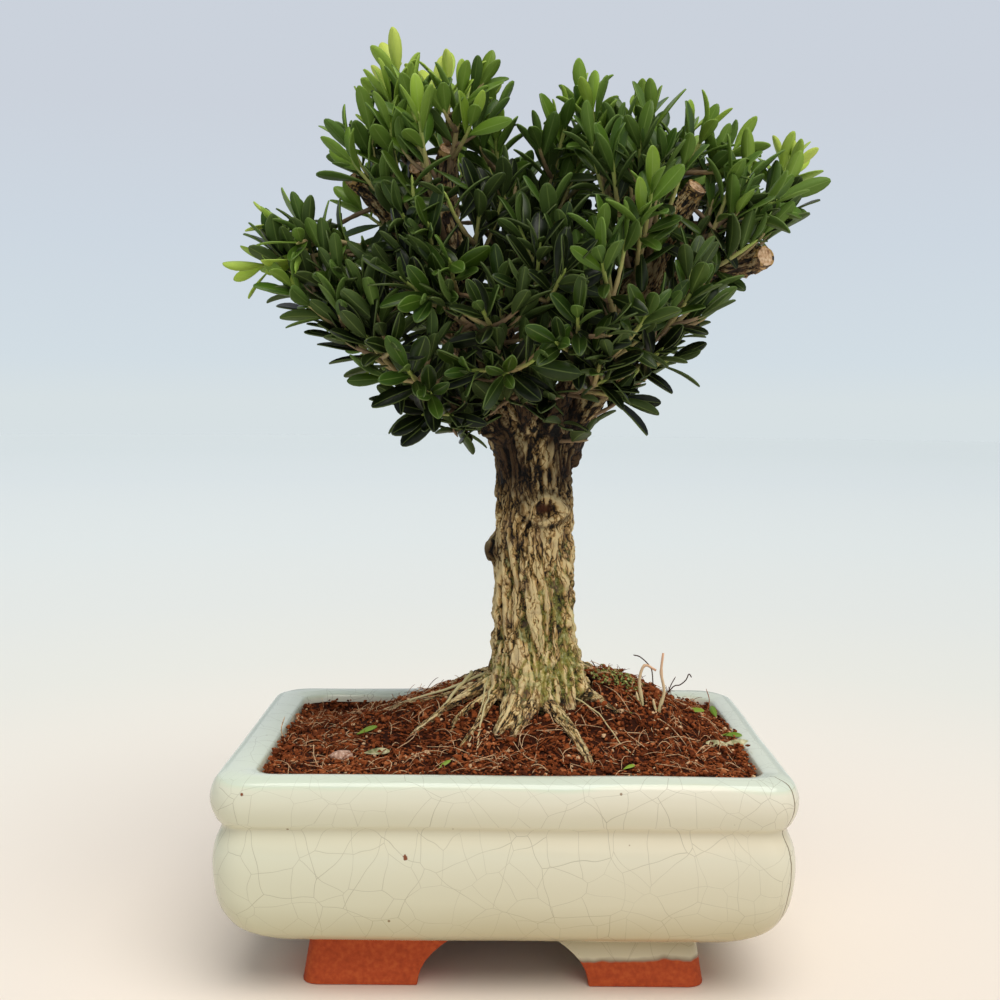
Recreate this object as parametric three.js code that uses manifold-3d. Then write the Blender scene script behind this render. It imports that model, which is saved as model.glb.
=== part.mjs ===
// A boxwood bonsai in its glazed pot. Millimetres, +Z up, front towards -Y.
// The origin is the middle of the whole plant's footprint, on the surface that the pot's feet stand on.
import * as THREE from "three";
import { mergeVertices } from "three/addons/utils/BufferGeometryUtils.js";
import Module from "manifold-3d";

const wasm = await Module();
wasm.setup();

// Driving dimensions. Until the last step everything is measured from the middle of the pot's base.
const GAP = 0.3; // clearance between pieces that touch
const SEED = 20417;

const JOIN_TOLERANCE = 0.03; // slivers thinner than this are merged after a join or a cut

const POT_CORNER_STEPS = 4;
// Outside of the bowl, from the foot crease to the rim's crest: half length, half width, height, corner radius.
const POT_OUTSIDE = [
  [57.7, 44.0, 14.2, 7],
  [65.5, 49.5, 15.6, 8],
  [71.5, 53.4, 18.0, 9],
  [75.4, 55.6, 21.0, 9.5],
  [78.5, 57.3, 27.0, 10],
  [79.7, 58.3, 36.0, 10],
  [79.2, 57.8, 43.0, 10],
  [77.5, 56.0, 47.8, 9],
  [78.6, 57.2, 50.0, 9],
  [80.0, 58.5, 54.0, 9.5],
  [80.0, 58.5, 58.0, 9.5],
  [78.6, 57.2, 61.4, 9],
  [75.4, 54.2, 63.0, 8],
];
// Inside, from the rim's crest down to the floor.
const POT_INSIDE = [
  [71.6, 50.6, 62.4, 7],
  [69.5, 48.5, 60.0, 7],
  [68.8, 47.8, 48.0, 8],
  [67.0, 46.0, 30.0, 9],
  [62.0, 41.0, 20.8, 9],
];
const FLOOR_TOP = 19.5;
const FLOOR_HALF = [57.0, 37.0, FLOOR_TOP, 8];
const OPENING_SHIFT = 1.5; // the mouth sits a little right of the middle
const DRAIN_RADIUS = 6;
const DRAIN_X = 30;
const DRAIN_DEPTH = 12;
const DRAIN_SIDES = 14;
const SCREEN_SIDE = 24;
const SCREEN_THICK = 0.9;
const SCREEN_HOLES = 3;
const SCREEN_BAR = 1.6;

const FOOT_HEIGHT = 14.2;
const FOOT_CORNER = [56.8, 43.6]; // outer corner at the table
const FOOT_TAPER = 2.2; // how far the outer faces lean in by the top
const FOOT_LEGS = [32.8, 24.0]; // leg lengths at the table, along X and Y
const FOOT_SPREAD = [12.0, 7.0]; // how much longer each leg is at the top
const FOOT_FLARE = 2.2; // power of the height that a leg's end follows
const FOOT_LEVELS = 4;
const FOOT_SUNK = 1; // how far each foot runs up into the bowl
const FOOT_THICK = 12;
const FOOT_CHAMFER = 5;

// The soil's surface: a level, with broad swells [x, y, spread x, spread y, height].
const SOIL_LEVEL = 59.5;
const SOIL_SWELLS = [
  [9, 4, 24, 22, 17],
  [40, 10, 15, 17, 11],
  [-25, 8, 18, 18, 6],
  [-50, 40, 20, 11, -3.5],
];
const SOIL_CRUMB = 0.9;
const SOIL_ROUNDS = [0.93, 0.78, 0.62, 0.46, 0.28];
const SOIL_CORNER_STEPS = 3;
const SOIL_SIDE_POINTS = 4;
const STALK_SIDES = 6;

// The trunk, from its sunk foot to the crown: height, radius, middle x.
const TRUNK = [
  [58, 13.0, 9.6],
  [68, 15.6, 9.8],
  [76, 16.4, 10.0],
  [80, 15.2, 10.0],
  [86, 13.4, 9.6],
  [94, 12.3, 9.2],
  [108, 11.7, 8.8],
  [118, 11.6, 8.7],
  [132, 11.2, 8.8],
  [144, 11.4, 8.8],
  [152, 12.0, 8.8],
  [158, 9.0, 8.6],
];
const TRUNK_SIDES = 32;
const TRUNK_LEVELS = 20;
const HOLE_SIDES = 14;
const HOLE_LEVELS = 3;
const HOLE_TOP = 84; // above the soil all round
const HOLE_EASE = 1.03; // so that the flats of the round hole clear the bark
const RIDGE_DEPTH = 2.0;
const RIDGE_WIDTH = 2.1;
// Two families of bark strands: how many, their turn for each millimetre of height, how far and how fast they
// waver, how unlike each other they waver, and their height as a share of the ridge depth.
const STRANDS = [
  { strands: 9, twist: 0.004, sway: 0.24, wave: 6.5, shift: 1.7, tall: 1.0 },
  { strands: 8, twist: -0.006, sway: 0.28, wave: 8.1, shift: 2.3, tall: 0.85 },
];
// A knob on the left of the trunk and a healed knot on its front: angle, height, spread angle, spread z, size.
const TRUNK_KNOBS = [
  [Math.PI, 118, 0.3, 4, 2.2],
  [-1.45, 130, 0.22, 3, 1.4],
];

// Surface roots: x, y, z, radius along each.
const ROOT_SIDES = 4;
const ROOT_ROUGH = 0.3;
const ROOTS = [
  [[13, -6, 80, 5.0], [11.5, -12, 75.4, 3.6], [16.5, -19, 70.9, 2.5], [20.5, -26, 67.0, 2.2],
    [23.5, -34, 63.2, 1.8], [24.5, -39, 59.6, 1.4]],
  [[6, -8, 80, 5.2], [3, -14, 74.6, 4.2], [1, -19, 70.6, 3.2], [-2, -23, 66.8, 2.0], [-3, -26, 63.0, 1.3]],
  [[9, -9, 78, 4.6], [7, -16, 72.4, 3.2], [5.5, -20, 69.6, 2.2], [2.5, -24.5, 66.6, 1.6], [1.5, -28, 63.0, 1.1]],
  [[1, -4, 79, 3.2], [-4, -11, 74.4, 1.9], [-8, -19, 68.9, 1.3], [-13, -28.5, 63.9, 1.1], [-15, -32, 61.0, 0.9]],
  [[0, -2, 80, 3.4], [-9, -6, 75.8, 2.2], [-17, -9, 71.6, 1.6], [-25, -15, 66.7, 1.2], [-29, -18, 63.2, 1.0]],
  [[0, 0, 80, 3.0], [-8, -2, 77.0, 1.9], [-14, -3, 74.8, 1.5], [-24, 0, 71.4, 1.2], [-31, 3, 69.8, 1.0],
    [-36, 4, 66.8, 0.9]],
  [[2, -6, 78, 2.8], [-7, -10, 73.9, 1.8], [-12, -13, 70.8, 1.4], [-15, -16, 68.7, 1.1], [-16, -20, 65.4, 0.9]],
  [[16, -4, 80, 4.2], [23, -8, 76.8, 2.6], [29, -10, 74.2, 1.6], [34, -13, 70.6, 1.1]],
  [[16, 6, 81, 4.2], [26, 15, 78.4, 2.6], [34, 24, 74.0, 1.7], [39, 30, 67.6, 1.1]],
  [[9, 9, 81, 4.2], [7, 20, 76.6, 2.8], [3, 31, 69.0, 1.8], [0, 39, 62.0, 1.2]],
  [[2, 6, 80, 3.8], [-9, 14, 76.0, 2.4], [-20, 22, 70.4, 1.6], [-28, 28, 64.2, 1.1]],
];

// Limbs inside the crown: x, y, z, radius along each. The ones that start thick have more sides and rougher bark.
const LIMB_THICK = { from: 5, sides: 8, rough: 1.0 };
const LIMB_THIN = { sides: 5, rough: 0.3 };
const LIMBS = {
  left: [[4, -1, 146, 8.0], [-3, -4, 163, 7.0], [-10, -7, 180, 6.0], [-16, -9, 200, 5.0], [-19, -10, 216, 4.2],
    [-18, -11, 235, 3.2]],
  right: [[13, -1, 148, 8.5], [22, -5, 166, 7.5], [31, -9, 182, 6.5], [37, -12, 196, 6.8], [44, -14, 210, 4.2],
    [53, -17, 224, 3.2]],
  right_low: [[24, -4, 170, 5.5], [42, -7, 188, 4.8], [58, -9, 201, 4.2], [73, -12, 206, 3.6]],
  left_low: [[0, -6, 152, 3.2], [-14, -13, 161, 2.8], [-27, -18, 169, 2.4], [-44, -23, 185, 2.0],
    [-56, -25, 197, 1.6]],
  left_mid: [[-15, -9, 197, 3.0], [-30, -12, 211, 2.4], [-44, -14, 226, 2.0]],
  front: [[8, -5, 150, 3.4], [4, -16, 166, 2.6], [0, -26, 184, 2.0]],
  front_right: [[12, -6, 152, 3.2], [17, -18, 166, 2.6], [23, -30, 178, 2.0]],
  right_front: [[16, -3, 152, 3.0], [30, -14, 168, 2.4], [44, -24, 186, 1.8]],
  back_left: [[6, 4, 150, 5.0], [-8, 16, 172, 4.0], [-24, 26, 194, 3.0], [-34, 32, 212, 2.2]],
  back: [[10, 5, 152, 4.5], [10, 22, 178, 3.4], [8, 34, 204, 2.4]],
  back_right: [[14, 4, 150, 5.0], [32, 16, 174, 4.0], [50, 26, 196, 3.0], [60, 30, 212, 2.2]],
  middle: [[-3, -4, 163, 4.0], [0, 6, 190, 3.0], [2, 10, 214, 2.4]],
  top_right: [[37, -12, 196, 3.4], [36, 2, 214, 2.6], [34, 8, 230, 2.0]],
  right_end: [[58, -9, 201, 2.6], [68, 0, 211, 2.0], [79, 2, 220, 1.6]],
  top_left: [[-19, -10, 216, 2.8], [-26, 0, 232, 2.0], [-28, 4, 240, 1.6]],
};

// Leafy sprays by region: each is a list of the places where its shoots end.
const SPRAYS = {
  low_left: [
    [[-64, -24, 213], [-70, -22, 202], [-59, -30, 203]],
    [[-60, -34, 195], [-56, -20, 193]],
    [[-53, -12, 199], [-44, -28, 196], [-48, -14, 206]],
    [[-28, -40, 196], [-30, -34, 206], [-37, -20, 204]],
    [[-39, -38, 181], [-47, -30, 185], [-31, -46, 178]],
    [[-23, -28, 160], [-27, -20, 163], [-16, -34, 160]],
    [[-27, -46, 172], [-21, -42, 166], [-33, -38, 170]],
  ],
  front: [
    [[-7, -50, 188], [-2, -44, 194], [-16, -46, 191]],
    [[-16, -42, 201], [-22, -48, 191]],
    [[-1, -48, 171], [-10, -46, 172], [7, -50, 175]],
    [[14, -54, 197], [8, -50, 204], [5, -50, 193]],
    [[11, -40, 214], [3, -38, 211], [14, -46, 207]],
    [[18, -56, 186], [13, -54, 179]],
    [[-8, -32, 218], [-1, -26, 224], [-17, -36, 219]],
  ],
  top_left: [
    [[-45, -18, 232], [-47, -8, 239], [-41, -8, 245], [-34, -20, 241]],
    [[-33, -4, 260], [-36, 6, 258]],
    [[-25, -32, 241], [-28, -22, 249]],
    [[-18, -10, 256], [-23, 2, 256], [-12, -2, 252]],
    [[-14, -22, 249], [-11, -26, 241]],
    [[-6, -2, 248], [-4, -10, 240]],
    [[-30, -30, 216], [-35, -24, 222], [-27, -30, 224], [-22, -38, 211]],
  ],
  top_right: [
    [[17, -8, 247], [14, -2, 243]],
    [[24, -12, 248], [22, 0, 254]],
    [[28, -36, 230], [23, -28, 235]],
    [[36, -32, 234], [33, -20, 241]],
    [[42, -8, 247], [39, 4, 249]],
    [[42, -36, 230], [48, -32, 229]],
    [[56, -18, 241], [53, -6, 243], [67, -2, 239]],
    [[63, -24, 227], [60, -12, 235], [70, -10, 230]],
  ],
  right: [
    [[86, 2, 235], [84, 8, 236]],
    [[75, -18, 221], [81, -8, 226]],
    [[69, -22, 209], [68, -4, 215]],
    [[50, -38, 194], [56, -24, 196], [50, -36, 201]],
    [[37, -48, 187], [42, -38, 188]],
    [[42, -34, 178], [46, -26, 176], [36, -28, 172]],
    [[24, -58, 200], [25, -50, 208], [31, -48, 207]],
    [[27, -34, 170], [32, -26, 165], [25, -46, 176]],
    [[38, -44, 220], [35, -48, 213]],
  ],
  back: [
    [[-56, 0, 198], [-50, 14, 208], [-48, 8, 196], [-40, 6, 182]],
    [[-44, 32, 208], [-34, 42, 200], [-52, 24, 196], [-38, 24, 184]],
    [[-24, 48, 192], [-10, 50, 182], [-34, 38, 180], [-20, 36, 170]],
    [[-38, 18, 230], [-45, 8, 222], [-30, 28, 236], [-24, 38, 224]],
    [[-16, 28, 240], [-24, 12, 248], [-10, 38, 230]],
    [[8, 54, 200], [-4, 54, 208], [20, 54, 208], [10, 46, 186]],
    [[8, 42, 226], [22, 36, 236], [0, 32, 230], [16, 22, 240]],
    [[34, 48, 198], [42, 42, 190], [28, 44, 180], [20, 38, 168]],
    [[36, 40, 226], [48, 34, 222], [32, 26, 242], [46, 22, 238]],
    [[54, 36, 206], [48, 42, 198], [62, 26, 206], [48, 24, 186]],
    [[58, 22, 228], [66, 14, 220], [54, 10, 238], [70, 10, 210]],
    [[16, 6, 238], [24, 2, 246], [34, 12, 246], [-8, 6, 238]],
  ],
};
const HEART = new THREE.Vector3(8, -2, 166); // the middle of the crown's base, which the shoots lead away from
const SEAT_REACH = 0.58; // how far out from the heart a spray's seat lies, of the way to its tip
const SEATS_TRIED = 40;
const STEM_CLEARANCE = 2.2; // between the middles of two stems
const WOOD_CLEARANCE = 1.4; // between a stem's middle and a limb's skin
const STEM_STEPS = 6;
const TWIG_STEPS = 4;
const FINE_SHARES = [0.25, 0.5, 0.75, 1]; // of each step, where clearances are measured
// Which points of its main stem a twig is tried from, for odd and even twigs in turn.
const TWIG_STARTS = [
  [2, 3, 4, 5],
  [4, 3, 2, 5],
];
const BEND_OUT = 0.62; // where a shoot turns up: of its way outwards
const BEND_UP = 0.38; // and of its way up
const STEM_SIDES = 3;
const STEM_RADIUS = [1.5, 1.0]; // to the corners of the stem, at the seat and at the tip
const TWIG_RADIUS = [0.5, 1.0]; // starts inside the main stem
const BUD_LENGTH = 2.4;
const MAIN_PAIRS = 6; // leaf pairs at most on a main stem
const TWIG_PAIRS = 4;
const PAIR_FIRST = 0.4; // from the tip to the first pair
const PAIR_STEPS = [3.2, 4.1, 5.0, 6.0, 6.0, 6.0]; // from each pair to the next
const PAIR_ROOM = 5.6; // length of shoot for each pair after the first
const BARE_ROOM = 4; // length of shoot that bears none
const LEAN_FIRST = 20; // degrees between the shoot and its first leaves
const LEAN_STEP = 12; // more for each pair further in
const LEAN_SPREAD = 18;
const TURN_SPREAD = 0.5;
const LEAF_LENGTH = 14.5;
const LEAF_SPREAD = 3.6; // longest less shortest
const LEAF_YOUNG = 0.86; // length of the first pair, as a share of the others'
const LEAF_HALF_WIDTH = 0.2; // of its length
const LEAF_THICK = 0.9;
const LEAF_KEEL = 0.7; // of the thickness, below the leaf's middle plane
const LEAF_FREE = 0.2; // of its length from the stem, where a leaf must be clear of its own stem
const LEAF_KEEP = 3; // the solids hold one leaf in this many, counted from each tip

// Two dry stalks that stand in the soil, and a pebble on it.
const STALKS = {
  stalk_tall: [[47, -7, 62, 0.9], [47, -7, 70, 0.9], [48.5, -7, 76, 0.8], [47.5, -7, 82, 0.7], [48, -7, 88, 0.6]],
  stalk_short: [[42, -6, 62, 0.9], [42, -6, 72, 0.9], [41, -6, 79, 0.8], [42.5, -6, 84, 0.7], [46, -6, 82.5, 0.6]],
};
const PEBBLE_HALF = [3.4, 2.6, 1.7];
const PEBBLE_PLACE = [-47, -28, 61.2];

// A repeatable random stream.
function randomStream(seed) {
  let state = seed >>> 0;
  return () => {
    state = (state + 0x6d2b79f5) >>> 0;
    let t = state;
    t = Math.imul(t ^ (t >>> 15), t | 1);
    t ^= t + Math.imul(t ^ (t >>> 7), t | 61);
    return ((t ^ (t >>> 14)) >>> 0) / 4294967296;
  };
}

// Carries the vertices of a unit cylinder to their places. place(side, level, out) gives the point for one of the
// sides at one of the levels, and out is 0 at the middle of an end and 1 on the skin.
function carried(sides, levels, place) {
  const geometry = new THREE.CylinderGeometry(1, 1, 1, sides, levels);
  const position = geometry.getAttribute("position");
  for (let i = 0; i < position.count; i++) {
    const turn = Math.atan2(position.getX(i), position.getZ(i)) / (2 * Math.PI);
    const side = (Math.round(turn * sides) + sides) % sides;
    const level = Math.round((position.getY(i) + 0.5) * levels);
    const out = Math.round(Math.hypot(position.getX(i), position.getZ(i)));
    const at = place(side, level, out);
    position.setXYZ(i, at.x, at.y, at.z);
  }
  return geometry;
}

// A closed geometry as a solid for cutting and joining, its faces turned outwards.
function solid(geometry) {
  geometry.deleteAttribute("normal");
  geometry.deleteAttribute("uv");
  const merged = mergeVertices(geometry, 1e-4);
  const vertProperties = new Float32Array(merged.getAttribute("position").array);
  const whole = [];
  for (let i = 0; i < merged.index.count; i += 3) {
    const [a, b, c] = [0, 1, 2].map((k) => merged.index.getX(i + k));
    if (a !== b && b !== c && c !== a) whole.push(a, b, c);
  }
  const make = (corners) =>
    new wasm.Manifold(new wasm.Mesh({ numProp: 3, vertProperties, triVerts: new Uint32Array(corners) }));
  const made = make(whole);
  return made.volume() > 0 ? made : make(whole.reverse());
}

// The largest body of a solid, as a named mesh. A loose scrap that a cut leaves is dropped.
function meshOf(name, shape, material) {
  const whole = shape.asOriginal().simplify(JOIN_TOLERANCE);
  const bodies = whole.decompose().sort((a, b) => b.volume() - a.volume());
  const { vertProperties, triVerts } = bodies[0].getMesh();
  const geometry = new THREE.BufferGeometry();
  geometry.setAttribute("position", new THREE.BufferAttribute(vertProperties, 3));
  geometry.setIndex(new THREE.BufferAttribute(triVerts, 1));
  geometry.computeVertexNormals();
  const mesh = new THREE.Mesh(geometry, material);
  mesh.name = name;
  return mesh;
}

function finish(color, roughness) {
  return new THREE.MeshStandardMaterial({ color, roughness, metalness: 0 });
}

// The outline of a rounded rectangle, with a number of steps round each corner and points along each straight side.
function rectangleOutline([halfX, halfY, z, radius], shiftX, cornerSteps, sidePoints = 0, inset = 0) {
  const arcs = [0, 1, 2, 3].map((corner) => {
    const signX = corner === 0 || corner === 3 ? 1 : -1;
    const signY = corner < 2 ? 1 : -1;
    return Array.from({ length: cornerSteps + 1 }, (_, step) => {
      const angle = ((corner + step / cornerSteps) * Math.PI) / 2;
      const x = signX * (halfX - radius) + (radius - inset) * Math.cos(angle);
      const y = signY * (halfY - radius) + (radius - inset) * Math.sin(angle);
      return new THREE.Vector3(x + shiftX, y, z);
    });
  });
  return arcs.flatMap((arc, corner) => {
    const next = arcs[(corner + 1) % 4][0];
    const last = arc[arc.length - 1];
    const share = (k) => (k + 1) / (sidePoints + 1);
    const between = Array.from({ length: sidePoints }, (_, k) => last.clone().lerp(next, share(k)));
    return [...arc, ...between];
  });
}

// A body lofted through rounded rectangles, closed flat at both ends.
function rectangleLoft(rings) {
  const outlines = rings.map(({ size, shift }) => rectangleOutline(size, shift, POT_CORNER_STEPS));
  return carried(outlines[0].length, rings.length - 1, (side, level, out) => {
    const { size, shift } = rings[level];
    return out ? outlines[level][side] : new THREE.Vector3(shift, 0, size[2]);
  });
}

const insideRings = [...POT_INSIDE, FLOOR_HALF].map((size) => ({ size, shift: OPENING_SHIFT }));

function foot(signX, signY) {
  const outline = new THREE.Shape();
  outline.moveTo(FOOT_CHAMFER, 0);
  outline.lineTo(FOOT_LEGS[0], 0);
  outline.lineTo(FOOT_LEGS[0], FOOT_THICK);
  outline.lineTo(FOOT_THICK, FOOT_THICK);
  outline.lineTo(FOOT_THICK, FOOT_LEGS[1]);
  outline.lineTo(0, FOOT_LEGS[1]);
  outline.lineTo(0, FOOT_CHAMFER);
  const depth = FOOT_HEIGHT + FOOT_SUNK;
  const geometry = new THREE.ExtrudeGeometry(outline, { depth, steps: FOOT_LEVELS, bevelEnabled: false });
  const position = geometry.getAttribute("position");
  for (let i = 0; i < position.count; i++) {
    const z = position.getZ(i);
    const up = Math.min(z / FOOT_HEIGHT, 1);
    let [x, y] = [position.getX(i), position.getY(i)];
    if (x > FOOT_LEGS[0] - 0.01) x += FOOT_SPREAD[0] * up ** FOOT_FLARE;
    if (y > FOOT_LEGS[1] - 0.01) y += FOOT_SPREAD[1] * up ** FOOT_FLARE;
    if (x < FOOT_THICK - 0.01) x += FOOT_TAPER * up;
    if (y < FOOT_THICK - 0.01) y += FOOT_TAPER * up;
    position.setXYZ(i, signX * (FOOT_CORNER[0] - x), signY * (FOOT_CORNER[1] - y), z);
  }
  return solid(geometry);
}

function potBody() {
  const rings = [...POT_OUTSIDE.map((size) => ({ size, shift: 0 })), ...insideRings];
  let body = solid(rectangleLoft(rings));
  for (const signX of [-1, 1]) {
    for (const signY of [-1, 1]) body = body.add(foot(signX, signY));
    const drain = new THREE.CylinderGeometry(DRAIN_RADIUS, DRAIN_RADIUS, DRAIN_DEPTH, DRAIN_SIDES);
    drain.rotateX(Math.PI / 2).translate(signX * DRAIN_X + OPENING_SHIFT, 0, FLOOR_TOP - DRAIN_DEPTH / 4);
    body = body.subtract(solid(drain));
  }
  return body;
}

// A drain screen: bars that cross, moulded as one.
function screenPlate(x) {
  const pitch = (SCREEN_SIDE - SCREEN_BAR) / SCREEN_HOLES;
  const bars = [];
  for (let k = 0; k <= SCREEN_HOLES; k++) {
    const at = (k - SCREEN_HOLES / 2) * pitch;
    const z = FLOOR_TOP + GAP + SCREEN_THICK / 2;
    bars.push(solid(new THREE.BoxGeometry(SCREEN_SIDE, SCREEN_BAR, SCREEN_THICK).translate(x, at, z)));
    bars.push(solid(new THREE.BoxGeometry(SCREEN_BAR, SCREEN_SIDE, SCREEN_THICK).translate(x + at, 0, z)));
  }
  return wasm.Manifold.union(bars);
}

function soilHeight(x, y) {
  let z = SOIL_LEVEL;
  for (const [cx, cy, spreadX, spreadY, height] of SOIL_SWELLS)
    z += height * Math.exp(-(((x - cx) / spreadX) ** 2) / 2 - ((y - cy) / spreadY) ** 2 / 2);
  return z;
}

// The soil: its side follows the pot's inner wall, and its top is carried to the mound in ever smaller rounds.
function soilBody() {
  const random = randomStream(SEED + 7);
  const wall = [FLOOR_HALF.with(2, FLOOR_TOP + GAP), ...POT_INSIDE.slice(1).reverse()];
  wall[wall.length - 1] = wall[wall.length - 1].with(2, SOIL_LEVEL);
  const outlines = wall.map((size) =>
    rectangleOutline(size, OPENING_SHIFT, SOIL_CORNER_STEPS, SOIL_SIDE_POINTS, GAP),
  );
  const mouth = outlines[outlines.length - 1];
  const sides = mouth.length;
  const levels = wall.length + SOIL_ROUNDS.length - 1;
  const crumbs = SOIL_ROUNDS.map(() => mouth.map(() => (random() - 0.5) * SOIL_CRUMB));
  const body = carried(sides, levels, (side, level, out) => {
    const round = level - wall.length;
    if (round < 0) return out ? outlines[level][side] : new THREE.Vector3(OPENING_SHIFT, 0, wall[level][2]);
    const scale = out * SOIL_ROUNDS[round];
    const x = OPENING_SHIFT + (mouth[side].x - OPENING_SHIFT) * scale;
    const y = mouth[side].y * scale;
    return new THREE.Vector3(x, y, soilHeight(x, y) + (out ? crumbs[round][side] : 0));
  });
  return solid(body);
}

// Interpolates a table row by its first column.
function tableAt(rows, at) {
  const upper = Math.max(1, rows.findIndex((row) => row[0] >= at));
  const [a, b] = [rows[upper - 1], rows[upper]];
  const t = (at - a[0]) / (b[0] - a[0]);
  return a.map((value, k) => value + (b[k] - value) * t);
}

// The bark's braided ridges, in millimetres above the groove: two families of strands wander up the trunk, one
// turning each way, and cross.
function ridge(angle, z, radius) {
  let best = 0;
  for (const { strands, twist, sway, wave, shift, tall } of STRANDS) {
    for (let k = 0; k < strands; k++) {
      const wander = sway * Math.sin(z / wave + shift * k) + twist * (z - SOIL_LEVEL);
      const middle = (2 * Math.PI * k) / strands + wander;
      const apart = Math.atan2(Math.sin(angle - middle), Math.cos(angle - middle)) * radius;
      best = Math.max(best, tall * Math.exp(-((apart / RIDGE_WIDTH) ** 2)));
    }
  }
  return RIDGE_DEPTH * (best - 0.5);
}

function trunkRadius(angle, z, radius) {
  let r = radius + ridge(angle, z, radius);
  for (const [at, height, spread, tall, size] of TRUNK_KNOBS) {
    const apart = Math.atan2(Math.sin(angle - at), Math.cos(angle - at));
    r += size * Math.exp(-((apart / spread) ** 2) - ((z - height) / tall) ** 2);
  }
  return r;
}

function trunkBody(grow) {
  const [low, high] = [TRUNK[0][0], TRUNK[TRUNK.length - 1][0]];
  return solid(
    carried(TRUNK_SIDES, TRUNK_LEVELS, (side, level, out) => {
      const z = low + ((high - low) * level) / TRUNK_LEVELS;
      const [, radius, x] = tableAt(TRUNK, z);
      const angle = (side / TRUNK_SIDES) * 2 * Math.PI;
      const r = out * (trunkRadius(angle, z, radius) + grow);
      const end = level === 0 ? -grow : level === TRUNK_LEVELS ? grow : 0;
      return new THREE.Vector3(x + r * Math.cos(angle), r * Math.sin(angle), z + end);
    }),
  );
}

// A tube of changing radius through its points. Rough bark moves the skin in and out a little.
function tube(points, sides, { grow = 0, rough = 0, random = () => 0.5 } = {}) {
  const line = points.map(([x, y, z]) => new THREE.Vector3(x, y, z));
  const levels = points.length - 1;
  const frames = new THREE.CatmullRomCurve3(line).computeFrenetFrames(levels, false);
  const bumps = Array.from({ length: (levels + 1) * sides }, () => (random() - 0.5) * rough);
  return solid(
    carried(sides, levels, (side, level, out) => {
      const at = line[level].clone();
      const radius = points[level][3] + bumps[level * sides + side] + grow;
      const angle = (side / sides) * 2 * Math.PI;
      at.addScaledVector(frames.normals[level], out * radius * Math.cos(angle));
      at.addScaledVector(frames.binormals[level], out * radius * Math.sin(angle));
      if (level === 0) at.addScaledVector(frames.tangents[level], -grow);
      if (level === levels) at.addScaledVector(frames.tangents[level], grow);
      return at;
    }),
  );
}

// The plain round hole that the trunk stands in.
function trunkHole() {
  const [low, high] = [TRUNK[0][0] - GAP, HOLE_TOP];
  return solid(
    carried(HOLE_SIDES, HOLE_LEVELS, (side, level, out) => {
      const z = low + ((high - low) * level) / HOLE_LEVELS;
      const [, radius, x] = tableAt(TRUNK, Math.max(z, TRUNK[0][0]));
      const r = out * (radius + RIDGE_DEPTH / 2 + GAP) * HOLE_EASE;
      const angle = (side / HOLE_SIDES) * 2 * Math.PI;
      return new THREE.Vector3(x + r * Math.cos(angle), r * Math.sin(angle), z);
    }),
  );
}

// Everything woody that grew as one: trunk, surface roots and limbs, or the roots alone.
function woodyBody(grow = 0, rootsOnly = false) {
  const random = randomStream(SEED + 3);
  const parts = rootsOnly ? [] : [trunkBody(grow)];
  for (const root of ROOTS) parts.push(tube(root, ROOT_SIDES, { grow, rough: ROOT_ROUGH, random }));
  for (const limb of rootsOnly ? [] : Object.values(LIMBS)) {
    const { sides, rough } = limb[0][3] > LIMB_THICK.from ? LIMB_THICK : LIMB_THIN;
    parts.push(tube(limb, sides, { grow, rough, random }));
  }
  return wasm.Manifold.union(parts);
}

// Where a spray may be seated: points along the limbs, each with the limb's radius there.
const limbSeats = Object.values(LIMBS).flatMap((limb) =>
  limb.slice(1).flatMap((to, k) => {
    const from = limb[k];
    return [0, 0.2, 0.4, 0.6, 0.8].map((t) => {
      const [x, y, z, radius] = from.map((value, axis) => value * (1 - t) + to[axis] * t);
      return { at: new THREE.Vector3(x, y, z), radius };
    });
  }),
);

// A shoot's line: it leaves outwards and turns up towards the light.
function shootLine(from, to, steps) {
  const bend = new THREE.Vector3(
    from.x + (to.x - from.x) * BEND_OUT,
    from.y + (to.y - from.y) * BEND_OUT,
    from.z + (to.z - from.z) * BEND_UP,
  );
  return new THREE.QuadraticBezierCurve3(from, bend, to).getPoints(steps);
}

// Whether a line keeps clear of the lines grown before it.
function isClear(line, others) {
  const points = finePoints(line);
  return others.every((other) =>
    points.every((point) => other.every((place) => place.distanceTo(point) > STEM_CLEARANCE)),
  );
}

// Whether a line, once it has left its limb, keeps clear of the wood.
function isFree(line) {
  const outside = ({ at, radius }, point) => at.distanceTo(point) > radius + WOOD_CLEARANCE;
  return line.slice(2).every((point) => limbSeats.every((spot) => outside(spot, point)));
}

// The end of the bud past a line's tip.
function budEnd(line) {
  const last = line.length - 1;
  return line[last].clone().sub(line[last - 1]).setLength(BUD_LENGTH).add(line[last]);
}

// Finely spaced points of a line and its bud, for measuring clearances.
function finePoints(line) {
  const whole = [...line, budEnd(line)];
  return line.flatMap((from, k) => FINE_SHARES.map((t) => from.clone().lerp(whole[k + 1], t)));
}

// The lines of one spray: a main stem from a free seat, and twigs that leave it for the other tips.
function sprayLines(tips, taken) {
  const ends = tips.map((tip) => new THREE.Vector3(...tip));
  const wanted = HEART.clone().lerp(ends[0], SEAT_REACH);
  const nearest = [...limbSeats].sort((a, b) => a.at.distanceTo(wanted) - b.at.distanceTo(wanted));
  const seats = nearest.slice(0, SEATS_TRIED);
  const mains = seats.map(({ at }) => shootLine(at, ends[0], STEM_STEPS));
  const clear = mains.filter((line) => isClear(line, taken));
  const main = clear.find(isFree) ?? clear[0] ?? mains[0];
  const lines = [main];
  ends.slice(1).forEach((end, k) => {
    const twigs = TWIG_STARTS[k % 2].map((start) => shootLine(main[start], end, TWIG_STEPS));
    const twig = twigs.find((line) => isFree(line) && isClear(line, taken));
    if (twig) lines.push(twig);
  });
  return lines;
}

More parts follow.
